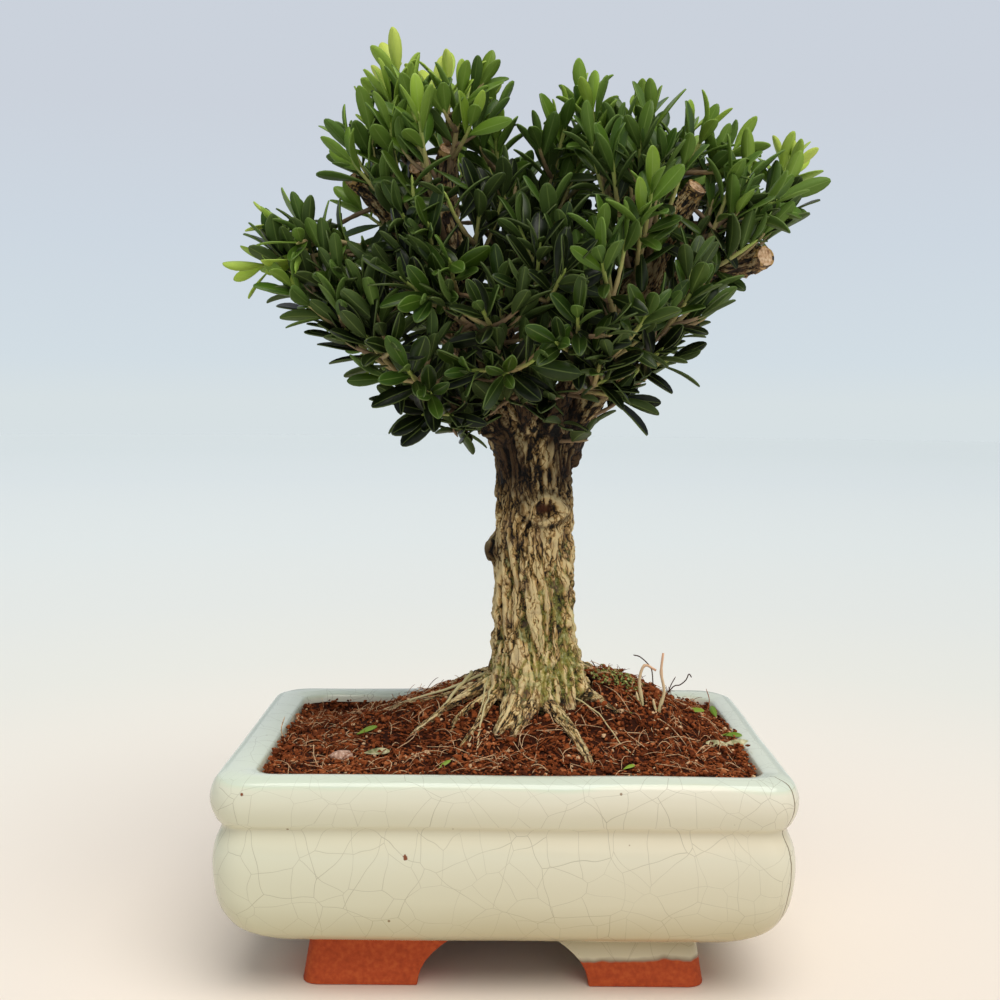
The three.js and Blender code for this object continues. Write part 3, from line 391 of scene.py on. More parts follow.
def celadon_glaze():
    """Crackled celadon glaze on stoneware: mint where it pools, beige where it runs thin, and a net of fine
    craze lines stained brown. Bare fired clay shows on the feet. Painted light is in it too: shade under the
    belly, a lighter foot below that, and a cool tint on the left side."""
    material, tree, place = start_material("celadon_glaze")
    split = add(tree, "SeparateXYZ", links={"Vector": place})
    height = add(tree, "Math", {1: 1 / 64}, {0: split.outputs["Z"]}, operation="MULTIPLY")
    cloud = add(tree, "TexNoise", {"Scale": 1 / 38, "Detail": 3.0}, {"Vector": place})
    drift = add(tree, "Math", {1: 0.08}, {0: cloud}, operation="MULTIPLY")
    level = add(tree, "Math", links={0: height, 1: drift}, operation="ADD")
    # painted shade: the glaze goes darker about 15 mm up, under the belly, over the thin khaki glaze there;
    # the foot's glaze below is painted lighter against the belly's shadow
    body = add(tree, "ValToRGB", links={"Fac": level}, stops=[
        (0.16, "#DAD2B4"), (0.24, "#B0A380"), (0.34, "#BDB18D"), (0.5, "#D3CCB1"), (0.7, "#D9D3BC"),
        (0.77, "#DCD2B8"), (0.8, "#DAD0B4"), (0.84, "#D9D3BA"), (0.93, "#DDD6C0"), (0.98, "#DFDAC6"),
        (1.015, "#D2D9C2"), (1.04, "#D3DAC8")])
    # painted light: a cool mint tint over the left side, fading out to the right
    start, end = (POT_LEVEL.x + x for x in COOL_LIGHT_TINT_CHANGE)
    change = {"From Min": start, "From Max": end, "To Min": 0.3, "To Max": 0.0}
    painted_cool_light_share = add(tree, "MapRange", change, {"Value": split.outputs["X"]})
    body = add(tree, "Mix", {"B": "#C9D6BD"}, {"Factor": painted_cool_light_share, "A": body}, data_type="RGBA")
    # craze lines 0.2 mm wide on the unrolled surface: long ones, and shorter ones between them
    walk = add(tree, "UVMap", uv_map="walk")
    flat = add(tree, "VectorMath", {1: (UNROLLED,) * 3}, {0: walk}, operation="MULTIPLY")
    warp = add(tree, "TexNoise", {"Scale": 1 / 24, "Detail": 2.0}, {"Vector": place})
    push = add(tree, "VectorMath", {1: (9.0,) * 3}, {0: warp.outputs["Color"]}, operation="MULTIPLY")
    bent = add(tree, "VectorMath", links={0: flat, 1: push}, operation="ADD")
    nets = []
    for cell, width, strength in CRAZE:
        net = add(tree, "TexVoronoi", {"Scale": 1 / cell}, {"Vector": bent},
                  feature="DISTANCE_TO_EDGE", voronoi_dimensions="2D")
        line = add(tree, "MapRange", {"From Max": width / cell, "To Min": strength, "To Max": 0.0},
                   {"Value": net})
        nets.append(line)
    fade = add(tree, "TexNoise", {"Scale": 1 / 25, "Detail": 1.0}, {"Vector": place})
    some = add(tree, "MapRange", {"From Min": 0.35, "From Max": 0.62, "To Min": 0.45, "To Max": 1.0},
               {"Value": fade})
    crazed = add(tree, "Math", links={0: nets[0], 1: nets[1]}, operation="MAXIMUM")
    crazed = add(tree, "Math", links={0: crazed, 1: some}, operation="MULTIPLY")
    # one open crack down the front right corner
    unrolled = add(tree, "SeparateXYZ", links={"Vector": flat})
    jog = add(tree, "TexNoise", {"Scale": 1 / 9, "Detail": 3.0}, {"Vector": place})
    jog = add(tree, "Math", {1: 2.0, 2: CRACK_AT - 1.0}, {0: jog}, operation="MULTIPLY_ADD")
    gap = add(tree, "Math", links={0: unrolled.outputs["X"], 1: jog}, operation="SUBTRACT")
    gap = add(tree, "Math", links={0: gap}, operation="ABSOLUTE")
    crack = add(tree, "MapRange", {"From Min": 0.12, "From Max": 0.4, "To Min": 1.0, "To Max": 0.0},
                {"Value": gap})
    crazed = add(tree, "Math", links={0: crazed, 1: crack}, operation="MAXIMUM")
    stained = add(tree, "Mix", {"B": "#786A50"}, {"Factor": crazed, "A": body}, data_type="RGBA")
    # pinholes and iron specks, about 0.7 mm
    dots = add(tree, "TexVoronoi", {"Scale": 1 / 11}, {"Vector": place})
    speck = add(tree, "MapRange", {"From Min": 0.028, "From Max": 0.04, "To Min": 0.8, "To Max": 0.0},
                {"Value": dots})
    marked = add(tree, "Mix", {"B": "#7A5A34"}, {"Factor": speck, "A": stained}, data_type="RGBA")
    # small chips in the front, stained brown
    ragged = add(tree, "TexNoise", {"Scale": 1.0, "Detail": 3.0}, {"Vector": place})
    for spot, reach in CHIPS:
        off = add(tree, "VectorMath", {1: (*spot, 0)}, {0: flat}, operation="DISTANCE")
        torn = add(tree, "Math", {1: 1.6}, {0: ragged, 2: off}, operation="MULTIPLY_ADD")
        edge = {"From Min": reach, "From Max": reach + 0.25, "To Min": 1.0, "To Max": 0.0}
        chip = add(tree, "MapRange", edge, {"Value": torn})
        marked = add(tree, "Mix", {"B": "#7C4526"}, {"Factor": chip, "A": marked}, data_type="RGBA")
    # fired clay where the glaze stops: high on the left feet, low on the right ones
    edge = add(tree, "TexNoise", {"Scale": 1 / 9, "Detail": 2.0}, {"Vector": place})
    wave = add(tree, "Math", {1: 3.4}, {0: edge}, operation="MULTIPLY")
    start, end = (POT_LEVEL.x + x for x in BARE_CLAY_CHANGE)
    change = {"From Min": start, "From Max": end, "To Min": BARE_CLAY[0], "To Max": BARE_CLAY[1]}
    side = add(tree, "MapRange", change, {"Value": split.outputs["X"]})
    line = add(tree, "Math", links={0: side, 1: wave}, operation="ADD")
    under = add(tree, "Math", links={0: line, 1: split.outputs["Z"]}, operation="SUBTRACT")
    thin = add(tree, "MapRange", {"From Min": 0.2, "From Max": 1.3, "To Max": 0.75}, {"Value": under})
    edged = add(tree, "Mix", {"B": "#6E4A2C"}, {"Factor": thin, "A": marked}, data_type="RGBA")
    bare = add(tree, "MapRange", {"From Min": 1.2, "From Max": 1.7}, {"Value": under})
    grit = add(tree, "TexNoise", {"Scale": 1 / 1.5, "Detail": 4.0}, {"Vector": place})
    fired = add(tree, "ValToRGB", links={"Fac": grit}, stops=[
        (0.3, "#A84017"), (0.5, "#B84A1C"), (0.7, "#C35826")])
    colour = add(tree, "Mix", links={"Factor": bare, "A": edged, "B": fired}, data_type="RGBA")
    gloss = add(tree, "MapRange", {"To Min": 0.13, "To Max": 0.85}, {"Value": bare})
    swell = add(tree, "TexNoise", {"Scale": 1 / 18, "Detail": 1.0}, {"Vector": place})
    wavy = add(tree, "Bump", {"Strength": 0.25, "Distance": 0.4 * MM}, {"Height": swell})
    cut = add(tree, "Bump", {"Strength": 0.5, "Distance": 0.1 * MM}, {"Height": crazed, "Normal": wavy},
              invert=True)
    close_material(tree, colour, gloss, cut, IOR=1.5)
    return material


def corky_bark():
    """Old boxwood bark: corky tan ridges over dark furrows, darker partly as painted shade, and mossy near
    the soil.
    Painted shade makes it brown-black under the crown.
    """
    material, tree, place = start_material("corky_bark")
    relief = add(tree, "Attribute", attribute_name="relief")
    grain = add(tree, "Attribute", attribute_name="grain")
    shade = add(tree, "Attribute", attribute_name="shade")
    moss = add(tree, "Attribute", attribute_name="moss")
    drawn = add(tree, "VectorMath", {1: (1, 1, 0.4)}, {0: grain.outputs["Vector"]}, operation="MULTIPLY")
    fine = add(tree, "TexNoise", {"Scale": 1 / 0.6, "Detail": 6.0, "Roughness": 0.75}, {"Vector": drawn})
    wide = add(tree, "TexNoise", {"Scale": 1 / 5.0, "Detail": 3.0}, {"Vector": place})
    rough = add(tree, "Math", {1: 0.75}, {0: fine}, operation="MULTIPLY")
    lift = add(tree, "Math", links={0: relief.outputs["Fac"], 1: rough}, operation="ADD")
    # fissures 0.4 mm wide between strands, darkened in part as painted shade
    sway = add(tree, "TexNoise", {"Scale": 1 / 3.0, "Detail": 2.0}, {"Vector": place})
    swayed = add(tree, "VectorMath", {1: (2.4, 2.4, 2.4)}, {0: sway.outputs["Color"], 2: drawn},
                 operation="MULTIPLY_ADD")
    net = add(tree, "TexVoronoi", {"Scale": 1 / 1.6}, {"Vector": swayed}, feature="DISTANCE_TO_EDGE")
    split = add(tree, "MapRange", {"From Max": 0.12, "To Min": -0.26, "To Max": 0.03}, {"Value": net})
    lift = add(tree, "Math", links={0: lift, 1: split}, operation="ADD")
    # the low furrows run near black: partly the bark's own dark, partly painted shade
    cork_and_furrow_shade = add(tree, "ValToRGB", links={"Fac": lift}, stops=[
        (0.5, "#0B0703"), (0.66, "#3C2B14"), (0.79, "#A07B43"), (0.94, "#E8BF7E"), (1.16, "#FFE4A8")])
    pale = add(tree, "MapRange", {"From Min": 0.52, "From Max": 0.7, "To Max": 0.35}, {"Value": wide})
    rosy = add(tree, "Mix", {"B": "#A98A70"}, {"Factor": pale, "A": cork_and_furrow_shade}, data_type="RGBA")
    growth = add(tree, "TexNoise", {"Scale": 1 / 2.6, "Detail": 4.0, "Roughness": 0.7}, {"Vector": place})
    patch = add(tree, "Math", links={0: growth, 1: moss.outputs["Fac"]}, operation="ADD")
    green = add(tree, "MapRange", {"From Min": 0.84, "From Max": 1.02, "To Max": 0.66}, {"Value": patch})
    leafy = add(tree, "ValToRGB", links={"Fac": growth}, stops=[
        (0.35, "#5E6220"), (0.52, "#A5A43E"), (0.68, "#E2E2A4")])
    mossy = add(tree, "Mix", links={"Factor": green, "A": rosy, "B": leafy}, data_type="RGBA")
    # painted shade: the shade attribute darkens the bark under the crown and round the knot
    dark = add(tree, "Mix", {"B": "#54463A"}, {"Factor": shade.outputs["Fac"], "A": mossy},
               data_type="RGBA", blend_type="MULTIPLY")
    heart = add(tree, "Attribute", attribute_name="heart")
    knotted = add(tree, "Mix", {"B": "#7A4A30"}, {"Factor": heart.outputs["Fac"], "A": dark},
                  data_type="RGBA")
    height = add(tree, "Math", {1: 1.5}, {0: split, 2: fine}, operation="MULTIPLY_ADD")
    bump = add(tree, "Bump", {"Strength": 1.0, "Distance": 0.8 * MM}, {"Height": height})
    close_material(tree, knotted, 0.88, bump)
    return material


def leaf_skin():
    """Boxwood leaf: leathery, glossy and dark above, dull and paler below, with a pale midrib and margin. The
    tone attribute holds how young the leaf is mixed with painted light (dark in the crown's shade, lighter at
    its outside), a chance and the underside."""
    material, tree, place = start_material("leaf_skin")
    tone = add(tree, "Attribute", attribute_name="tone")
    parts = add(tree, "SeparateXYZ", links={"Vector": tone.outputs["Vector"]})
    spot = add(tree, "UVMap", uv_map="blade")
    across = add(tree, "SeparateXYZ", links={"Vector": spot})
    # painted light: the tone's first part runs from near black for leaves deep in the crown's shade to light
    # green at its outside
    age_and_painted_light = add(tree, "ValToRGB", links={"Fac": parts.outputs["X"]}, stops=[
        (0.0, "#070A03"), (0.2, "#111A06"), (0.45, "#56731F"), (0.75, "#A4BE42"), (1.0, "#D2DE66")])
    other = add(tree, "ValToRGB", links={"Fac": parts.outputs["X"]}, stops=[
        (0.0, "#060904"), (0.2, "#0D1607"), (0.45, "#3F5E1C"), (0.75, "#80A235"), (1.0, "#B6CC50")])
    upper = add(tree, "Mix", links={"Factor": parts.outputs["Y"], "A": age_and_painted_light, "B": other}, data_type="RGBA")
    mottle = add(tree, "TexNoise", {"Scale": 1 / 3.0, "Detail": 3.0}, {"Vector": place})
    faint = add(tree, "MapRange", {"From Min": 0.35, "From Max": 0.7, "To Max": 0.06}, {"Value": mottle})
    worn = add(tree, "Mix", {"B": "#557026"}, {"Factor": faint, "A": upper}, data_type="RGBA")
    lower = add(tree, "Mix", {"B": "#7E9A4C", "Factor": 0.2}, {"A": worn}, data_type="RGBA")
    sided = add(tree, "Mix", links={"Factor": parts.outputs["Z"], "A": worn, "B": lower}, data_type="RGBA")
    # the midrib is 0.5 mm wide and the margin 0.2 mm
    off = add(tree, "Math", {1: 0.5}, {0: across.outputs["X"]}, operation="SUBTRACT")
    off = add(tree, "Math", links={0: off}, operation="ABSOLUTE")
    rib = add(tree, "MapRange", {"From Min": 0.01, "From Max": 0.05, "To Min": 0.24, "To Max": 0.0},
              {"Value": off})
    rim = add(tree, "MapRange", {"From Min": 0.45, "From Max": 0.5, "To Max": 0.14}, {"Value": off})
    vein = add(tree, "Math", links={0: rib, 1: rim}, operation="MAXIMUM")
    drawn = add(tree, "Mix", {"B": "#A9BE6A"}, {"Factor": vein, "A": sided}, data_type="RGBA")
    gloss = add(tree, "MapRange", {"To Min": 0.36, "To Max": 0.6}, {"Value": parts.outputs["Z"]})
    bump = add(tree, "Bump", {"Strength": 0.5, "Distance": 0.15 * MM}, {"Height": vein})
    close_material(tree, drawn, gloss, bump, IOR=1.31)
    return material


def shoot_skin():
    """Shoots: grey-tan bark where they are old, going smooth and yellow-green at the tip."""
    material, tree, place = start_material("shoot_skin")
    along = add(tree, "Attribute", attribute_name="along")
    noise_mm = add(tree, "TexNoise", {"Scale": 1 / 1.2, "Detail": 3.0}, {"Vector": place})
    shift = add(tree, "Math", {1: 0.3}, {0: noise_mm}, operation="MULTIPLY")
    total = add(tree, "Math", links={0: along.outputs["Fac"], 1: shift}, operation="ADD")
    colour = add(tree, "ValToRGB", links={"Fac": total}, stops=[
        (0.1, "#5B4630"), (0.45, "#93795A"), (0.75, "#AFA066"), (1.1, "#9DAE50")])
    bump = add(tree, "Bump", {"Strength": 0.6, "Distance": 0.2 * MM}, {"Height": noise_mm})
    close_material(tree, colour, 0.65, bump)
    return material


def coir():
    """Damp coir and peat: red-brown crumbs, each of its own tone, and paler husk fibres."""
    material, tree, place = start_material("coir")
    tone = add(tree, "Attribute", attribute_name="tone")
    parts = add(tree, "SeparateXYZ", links={"Vector": tone.outputs["Vector"]})
    drift = add(tree, "TexNoise", {"Scale": 1 / 2.5, "Detail": 4.0}, {"Vector": place})
    level = add(tree, "Math", {1: 0.4}, {0: drift, 2: parts.outputs["X"]}, operation="MULTIPLY_ADD")
    colour = add(tree, "ValToRGB", links={"Fac": level}, stops=[
        (0.1, "#2A130A"), (0.5, "#5D2B15"), (0.8, "#9F5229"), (1.02, "#CA7C4C"), (1.3, "#EFC698")])
    grit = add(tree, "TexNoise", {"Scale": 1 / 0.8, "Detail": 3.0}, {"Vector": place})
    dark = add(tree, "MapRange", {"From Min": 0.35, "From Max": 0.65, "To Min": 0.45, "To Max": 0.0},
               {"Value": grit})
    mixed = add(tree, "Mix", {"B": "#26120B"}, {"Factor": dark, "A": colour}, data_type="RGBA")
    bump = add(tree, "Bump", {"Strength": 0.7, "Distance": 0.3 * MM}, {"Height": grit})
    close_material(tree, mixed, 0.9, bump, IOR=1.2)
    return material


def dead_stalk():
    """Dry herb stem: straw pink, going green where it leaves the soil."""
    material, tree, _ = start_material("dead_stalk")
    along = add(tree, "Attribute", attribute_name="along")
    colour = add(tree, "ValToRGB", links={"Fac": along.outputs["Fac"]}, stops=[
        (0.05, "#A0A862"), (0.3, "#D8C894"), (0.7, "#E9C49C"), (1.0, "#E8B490")])
    close_material(tree, colour, 0.6)
    return material


# Plain materials: size of the grain in millimetres, its detail, its colours, the roughness, and the bump's
# strength and depth. The stone is worn quartzite, the cut wood dense and cream, and the fallen leaves
# bleached and papery.
PLAIN = {
    "moulded_polypropylene": (0.5, 2.0, [(0.3, "#242625"), (0.7, "#303331")], 0.6),
    "river_stone": (0.7, 4.0, [(0.3, "#8A6450"), (0.55, "#C49C84"), (0.75, "#E2CBB8")], 0.75, (0.3, 0.2)),
    "cut_wood": (0.9, 4.0, [(0.3, "#8E6A48"), (0.45, "#D2A67C"), (0.62, "#E9C8A2"), (0.75, "#F2DCBC")],
                 0.8, (0.4, 0.2)),
    "dead_leaf": (2.0, 4.0, [(0.35, "#77784C"), (0.5, "#B4AE80"), (0.65, "#D6CDA6")], 0.75),
    "cushion_moss": (0.9, 3.0, [(0.35, "#3F441C"), (0.5, "#8A8F42"), (0.68, "#C6C982")], 0.9, (0.7, 0.3)),
}


def plain(name):
    """A material of one kind of grain, which gives both its colours and its fine relief."""
    size, detail, stops, roughness, *relief = PLAIN[name]
    material, tree, place = start_material(name)
    grain = add(tree, "TexNoise", {"Scale": 1 / size, "Detail": detail}, {"Vector": place})
    tone = add(tree, "ValToRGB", links={"Fac": grain}, stops=stops)
    bump = None
    for strength, depth in relief:
        bump = add(tree, "Bump", {"Strength": strength, "Distance": depth * MM}, {"Height": grain})
    close_material(tree, tone, roughness, bump)
    return material


# Mesh helpers


def baked(name, bm):
    """The bmesh as a mesh."""
    mesh = bpy.data.meshes.new(name)
    bm.to_mesh(mesh)
    bm.free()
    return mesh


def settled(name, bm, materials, slot=None, smooth=True):
    """The bmesh as a named object at the origin. With a slot, it rides on the one body."""
    return dressed(name, baked(name, bm), materials, slot, smooth)


def dressed(name, mesh, materials, slot=None, smooth=True):
    """The mesh as a named object with its materials. With a slot, it rides on the one body."""
    if mesh.materials:
        mesh.materials.clear()
    for material in materials:
        mesh.materials.append(material)
    if smooth:
        mesh.shade_smooth()
    made = bpy.data.objects.new(name, mesh)
    bpy.context.scene.collection.objects.link(made)
    if slot:
        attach(made, "root")
    return made


def poured_in(gathered, mesh):
    """Moves a mesh into a larger bmesh and returns its corners there."""
    start = len(gathered.verts)
    gathered.from_mesh(mesh)
    bpy.data.meshes.remove(mesh)
    gathered.verts.ensure_lookup_table()
    return gathered.verts[start:]


def mixed_in(gathered, part):
    """Adds a small bmesh to a larger one."""
    return poured_in(gathered, baked("part", part))


def copied_in(gathered, form, place):
    """Adds a copy of a mesh at its place."""
    copy = form.copy()
    copy.transform(place)
    return poured_in(gathered, copy)


def pulled_out(bm, cap, first):
    """Extrudes an end face and returns the new end. The old one goes, unless it closes the start."""
    grown = bmesh.ops.extrude_face_region(bm, geom=[cap])["geom"]
    if not first:
        bmesh.ops.delete(bm, geom=[cap], context="FACES_ONLY")
    return next(item for item in grown if isinstance(item, bmesh.types.BMFace))


def tube(points, radii, sides, value=None):
    """A closed tube, its end face extruded from point to point. value is its along attribute at both ends."""
    bm = bmesh.new()
    layer = bm.verts.layers.float.new("along")
    bmesh.ops.create_circle(bm, cap_ends=True, segments=sides, radius=1.0)
    turns = []
    facing = None
    for k, point in enumerate(points):
        ahead = points[min(k + 1, len(points) - 1)] - points[max(k - 1, 0)]
        ahead = ahead.normalized() if ahead.length > 0 else Vector((0, 0, 1))
        if facing is None:
            facing = Vector((0, 0, 1)).rotation_difference(ahead)
        else:
            facing = (facing @ Vector((0, 0, 1))).rotation_difference(ahead) @ facing
        turns.append(Matrix.LocRotScale(point, facing, Vector((radii[k],) * 3)))
    cap = bm.faces[:][0]
    bmesh.ops.transform(bm, matrix=turns[0], verts=cap.verts)
    low, high = value or (0.0, 1.0)
    for vert in cap.verts:
        vert[layer] = low
    for k in range(1, len(points)):
        cap = pulled_out(bm, cap, k == 1)
        bmesh.ops.transform(bm, matrix=turns[k] @ turns[k - 1].inverted(), verts=cap.verts)
        for vert in cap.verts:
            vert[layer] = low + (high - low) * k / (len(points) - 1)
    bmesh.ops.recalc_face_normals(bm, faces=bm.faces)
    return bm


def smooth_rows(rows, steps):
    """Rows of numbers with smooth steps between them."""
    rows = np.array(rows, float)
    padded = np.vstack([2 * rows[0] - rows[1], rows, 2 * rows[-1] - rows[-2]])
    made = []
    for k in range(len(rows) - 1):
        a, b, c, d = padded[k : k + 4]
        for step in range(steps):
            t = step / steps
            bend = (2 * a - 5 * b + 4 * c - d) * t**2
            made.append(0.5 * (2 * b + (c - a) * t + bend + (3 * b - a - 3 * c + d) * t**3))
    made.append(rows[-1])
    return made


# The pot


def unrolled(mesh):
    """Maps the pot's skin: how far round it each corner lies from the middle of the front, and how far up."""
    wide, deep = POT_HALF
    half_x, half_y = wide - POT_CORNER, deep - POT_CORNER
    arc = POT_CORNER * math.pi / 2
    layer = mesh.uv_layers.new(name="walk")
    whole = 4 * (half_x + half_y + arc)
    for polygon in mesh.polygons:
        spots = []
        for index in polygon.loop_indices:
            spot = mesh.vertices[mesh.loops[index].vertex_index].co / MM - POT_LEVEL
            x, y = abs(spot.x), abs(spot.y)
            turn = math.atan2(max(x - half_x, 0), max(y - half_y, 0.001)) if x > half_x or y > half_y else 0.0
            if x / half_x < y / half_y or turn > 0:
                quarter = min(x, half_x) + turn * POT_CORNER + (half_y - min(y, half_y) if x > half_x else 0)
            else:
                quarter = half_x + arc + half_y - y
            half = quarter if spot.y < 0 else whole / 2 - quarter
            inwards = max(0, wide - x) if x / wide > y / deep else max(0, deep - y)
            spots.append([math.copysign(half, spot.x),
                          spot.z + (inwards if spot.z > POT_WAIST else -inwards)])
        if max(spot[0] for spot in spots) - min(spot[0] for spot in spots) > whole / 2:
            for spot in spots:
                spot[0] += whole if spot[0] < 0 else 0
        for index, spot in zip(polygon.loop_indices, spots):
            layer.data[index].uv = (spot[0] / UNROLLED, spot[1] / UNROLLED)


def pot_piece(glaze):
    """The bowl is one outline, extruded and resized ring by ring: out, up, over the rim and down inside."""
    rings = [(x, y, z, 0.0) for x, y, z in smooth_rows(POT_OUTSIDE, 4)]
    inside = smooth_rows([POT_OUTSIDE[-1], *POT_INSIDE, (*FLOOR_HALF, FLOOR_TOP)], 4)
    rings += [(x, y, z, OPENING_SHIFT) for x, y, z in inside[2:]]
    bm = bmesh.new()
    bmesh.ops.create_grid(bm, x_segments=1, y_segments=1, size=1.0)
    first = rings[0]
    bmesh.ops.transform(bm, matrix=Matrix.Diagonal((first[0], first[1], 1, 1)), verts=bm.verts)
    bmesh.ops.translate(bm, vec=(0, 0, first[2]), verts=bm.verts)
    reach = POT_CORNER * first[0] / POT_HALF[0]
    bmesh.ops.bevel(bm, geom=bm.verts, offset=reach, affect="VERTICES", segments=8, profile=0.5, material=-1)
    long_edges = [edge for edge in bm.edges if edge.calc_length() > 20]
    bmesh.ops.subdivide_edges(bm, edges=long_edges, cuts=26)
    cap = bm.faces[:][0]
    at = first
    for ring in rings[1:]:
        cap = pulled_out(bm, cap, at is first)
        size = Matrix.Diagonal((ring[0] / at[0], ring[1] / at[1], 1, 1))
        back = Matrix.Translation((-at[3], 0, -at[2]))
        there = Matrix.Translation((ring[3], 0, ring[2]))
        bmesh.ops.transform(bm, matrix=there @ size @ back, verts=cap.verts)
        at = ring
    # thrown by hand: the walls waver by a fraction of a millimetre
    for vert in bm.verts:
        out = Vector((vert.co.x, vert.co.y, 0))
        if vert.co.z > 15 and out.length > 0:
            vert.co += out.normalized() * 0.35 * noise.noise(vert.co / 30)
            vert.co.z += 0.4 * noise.noise(vert.co / 42 + Vector((7, 0, 0))) * max(0, vert.co.z - 40) / 23
    bmesh.ops.recalc_face_normals(bm, faces=bm.faces)
    bmesh.ops.transform(bm, matrix=TO_ROW, verts=bm.verts)
    bowl = settled("pot_bowl", bm, [glaze], "glaze")

    cutters = []
    for sign_x in (-1, 1):
        for sign_y in (-1, 1):
            cutters.append(("UNION", foot(sign_x, sign_y)))
        drain = bmesh.new()
        bmesh.ops.create_cone(drain, cap_ends=True, segments=40, radius1=DRAIN_RADIUS, radius2=DRAIN_RADIUS,
                              depth=12)
        bmesh.ops.translate(drain, vec=(sign_x * DRAIN_X + OPENING_SHIFT, 0, FLOOR_TOP - 3),
                            verts=drain.verts)
        cutters.append(("DIFFERENCE", drain))
    helpers = []
    for operation, tool in cutters:
        bmesh.ops.transform(tool, matrix=TO_ROW, verts=tool.verts)
        helper = settled("helper", tool, [glaze])
        helpers.append(helper)
        cut = bowl.modifiers.new("cut", "BOOLEAN")
        cut.object = helper
        cut.operation = operation
        cut.solver = "EXACT"
    bowl.data = applied(bowl)
    for helper in helpers:
        bpy.data.objects.remove(helper)
    bowl.data.set_sharp_from_angle(angle=math.radians(48))
    unrolled(bowl.data)
    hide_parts("pot")


def foot(sign_x, sign_y):
    """A corner foot: an L pressed up out of its outline and bevelled. It leans in, and its ends spread."""
    bm = bmesh.new()
    long, short = FOOT_LEGS
    corners = [(0, 0), (long, 0), (long, FOOT_THICK), (FOOT_THICK, FOOT_THICK), (FOOT_THICK, short),
               (0, short)]
    sole = bm.faces.new([bm.verts.new((x, y, 0)) for x, y in corners])
    top = sole
    for level in range(FOOT_STEPS):
        top = pulled_out(bm, top, level == 0)
        bmesh.ops.translate(bm, vec=(0, 0, (FOOT_HEIGHT + 1) / FOOT_STEPS), verts=top.verts)
    outer = min(bm.verts, key=lambda vert: vert.co.length)
    for vert in bm.verts:
        up = min(vert.co.z / FOOT_HEIGHT, 1)
        x, y = vert.co.x, vert.co.y
        if x > long - 0.01:
            vert.co.x += FOOT_SPREAD[0] * up**FOOT_FLARE
        if y > short - 0.01:
            vert.co.y += FOOT_SPREAD[1] * up**FOOT_FLARE
        if x < 0.01:
            vert.co.x += FOOT_TAPER * up
        if y < 0.01:
            vert.co.y += FOOT_TAPER * up
    at_corner = {v for v in bm.verts if (v.co.xy - outer.co.xy).length < 5 and abs(v.co.x - v.co.y) < 0.5}
    upright = [edge for edge in bm.edges if at_corner.issuperset(edge.verts)]
    upright = [edge for edge in upright if abs(edge.verts[0].co.z - edge.verts[1].co.z) > 0.1]
    bmesh.ops.bevel(bm, geom=upright, offset=4.5, affect="EDGES", segments=4, profile=0.5, material=-1)
    sharp = [edge for edge in bm.edges if len(edge.link_faces) == 2 and edge.calc_face_angle(0) > 0.9]
    bmesh.ops.bevel(bm, geom=sharp, offset=0.6, affect="EDGES", segments=2, profile=0.5, material=-1)
    for vert in bm.verts:
        vert.co = Vector((sign_x * (FOOT_CORNER[0] - vert.co.x), sign_y * (FOOT_CORNER[1] - vert.co.y),
                          vert.co.z))
    bmesh.ops.recalc_face_normals(bm, faces=bm.faces)
    return bm


def applied(piece):
    """The piece's mesh with its modifiers applied."""
    graph = bpy.context.evaluated_depsgraph_get()
    mesh = bpy.data.meshes.new_from_object(piece.evaluated_get(graph))
    piece.modifiers.clear()
    return mesh


# The wood


def merged_copy(node):
    """A CAD node's mesh with its loose triangles joined, as a bmesh."""
    bm = bmesh.new()
    bm.from_mesh(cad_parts[node].data)
    bmesh.ops.remove_doubles(bm, verts=bm.verts, dist=0.001 * MM)
    return bm


def cell_relief(places, seed):
    """How far each place is from the walls of scattered cells one unit wide: 0 on a wall, up to 1 inside."""
    base = np.floor(places).astype(np.int64)
    nearest = np.full(len(places), 9.0)
    second = np.full(len(places), 9.0)
    for dx in (-1, 0, 1):
        for dy in (-1, 0, 1):
            for dz in (-1, 0, 1):
                cell = base + (dx, dy, dz)
                mixed = np.full(len(places), seed * 2654435761)
                for axis, prime in enumerate((73856093, 19349663, 83492791)):
                    mixed = mixed ^ (cell[:, axis] * prime)
                spots = []
                for k in range(3):
                    mixed = (mixed ^ (mixed >> 13)) * 1274126177 & 0x7FFFFFFF
                    spots.append((mixed >> 8) % 4096 / 4096)
                away = np.linalg.norm(cell + np.stack(spots, 1) - places, axis=1)
                second = np.minimum(second, np.maximum(nearest, away))
                nearest = np.minimum(nearest, away)
    return np.sin(np.pi / 2 * np.clip((second - nearest) / 0.5, 0, 1))


def along_route(places, route):
    """For each place: its distance from a route's skin, the length along, the angle, and the radius there."""
    route = np.array(route, float)
    best = np.full(len(places), 1e9)
    lengths = np.zeros(len(places))
    angles = np.zeros(len(places))
    radii = np.ones(len(places))
    run = 0.0
    for a, b in zip(route[:-1], route[1:]):
        step = b[:3] - a[:3]
        size = np.linalg.norm(step)
        ahead = step / size
        side = np.cross(ahead, (0.0, 1.0, 0.0))
        side /= np.linalg.norm(side)
        over = np.cross(ahead, side)
        share = np.clip((places - a[:3]) @ ahead / size, 0, 1)
        off = places - a[:3] - share[:, None] * step
        radius = a[3] + (b[3] - a[3]) * share
        away = np.linalg.norm(off, axis=1)
        nearer = away < best
        best = np.where(nearer, away, best)
        lengths = np.where(nearer, run + share * size, lengths)
        angles = np.where(nearer, np.arctan2(off @ over, off @ side), angles)
        radii = np.where(nearer, radius, radii)
        run += size
    return best - radii, lengths, angles, radii


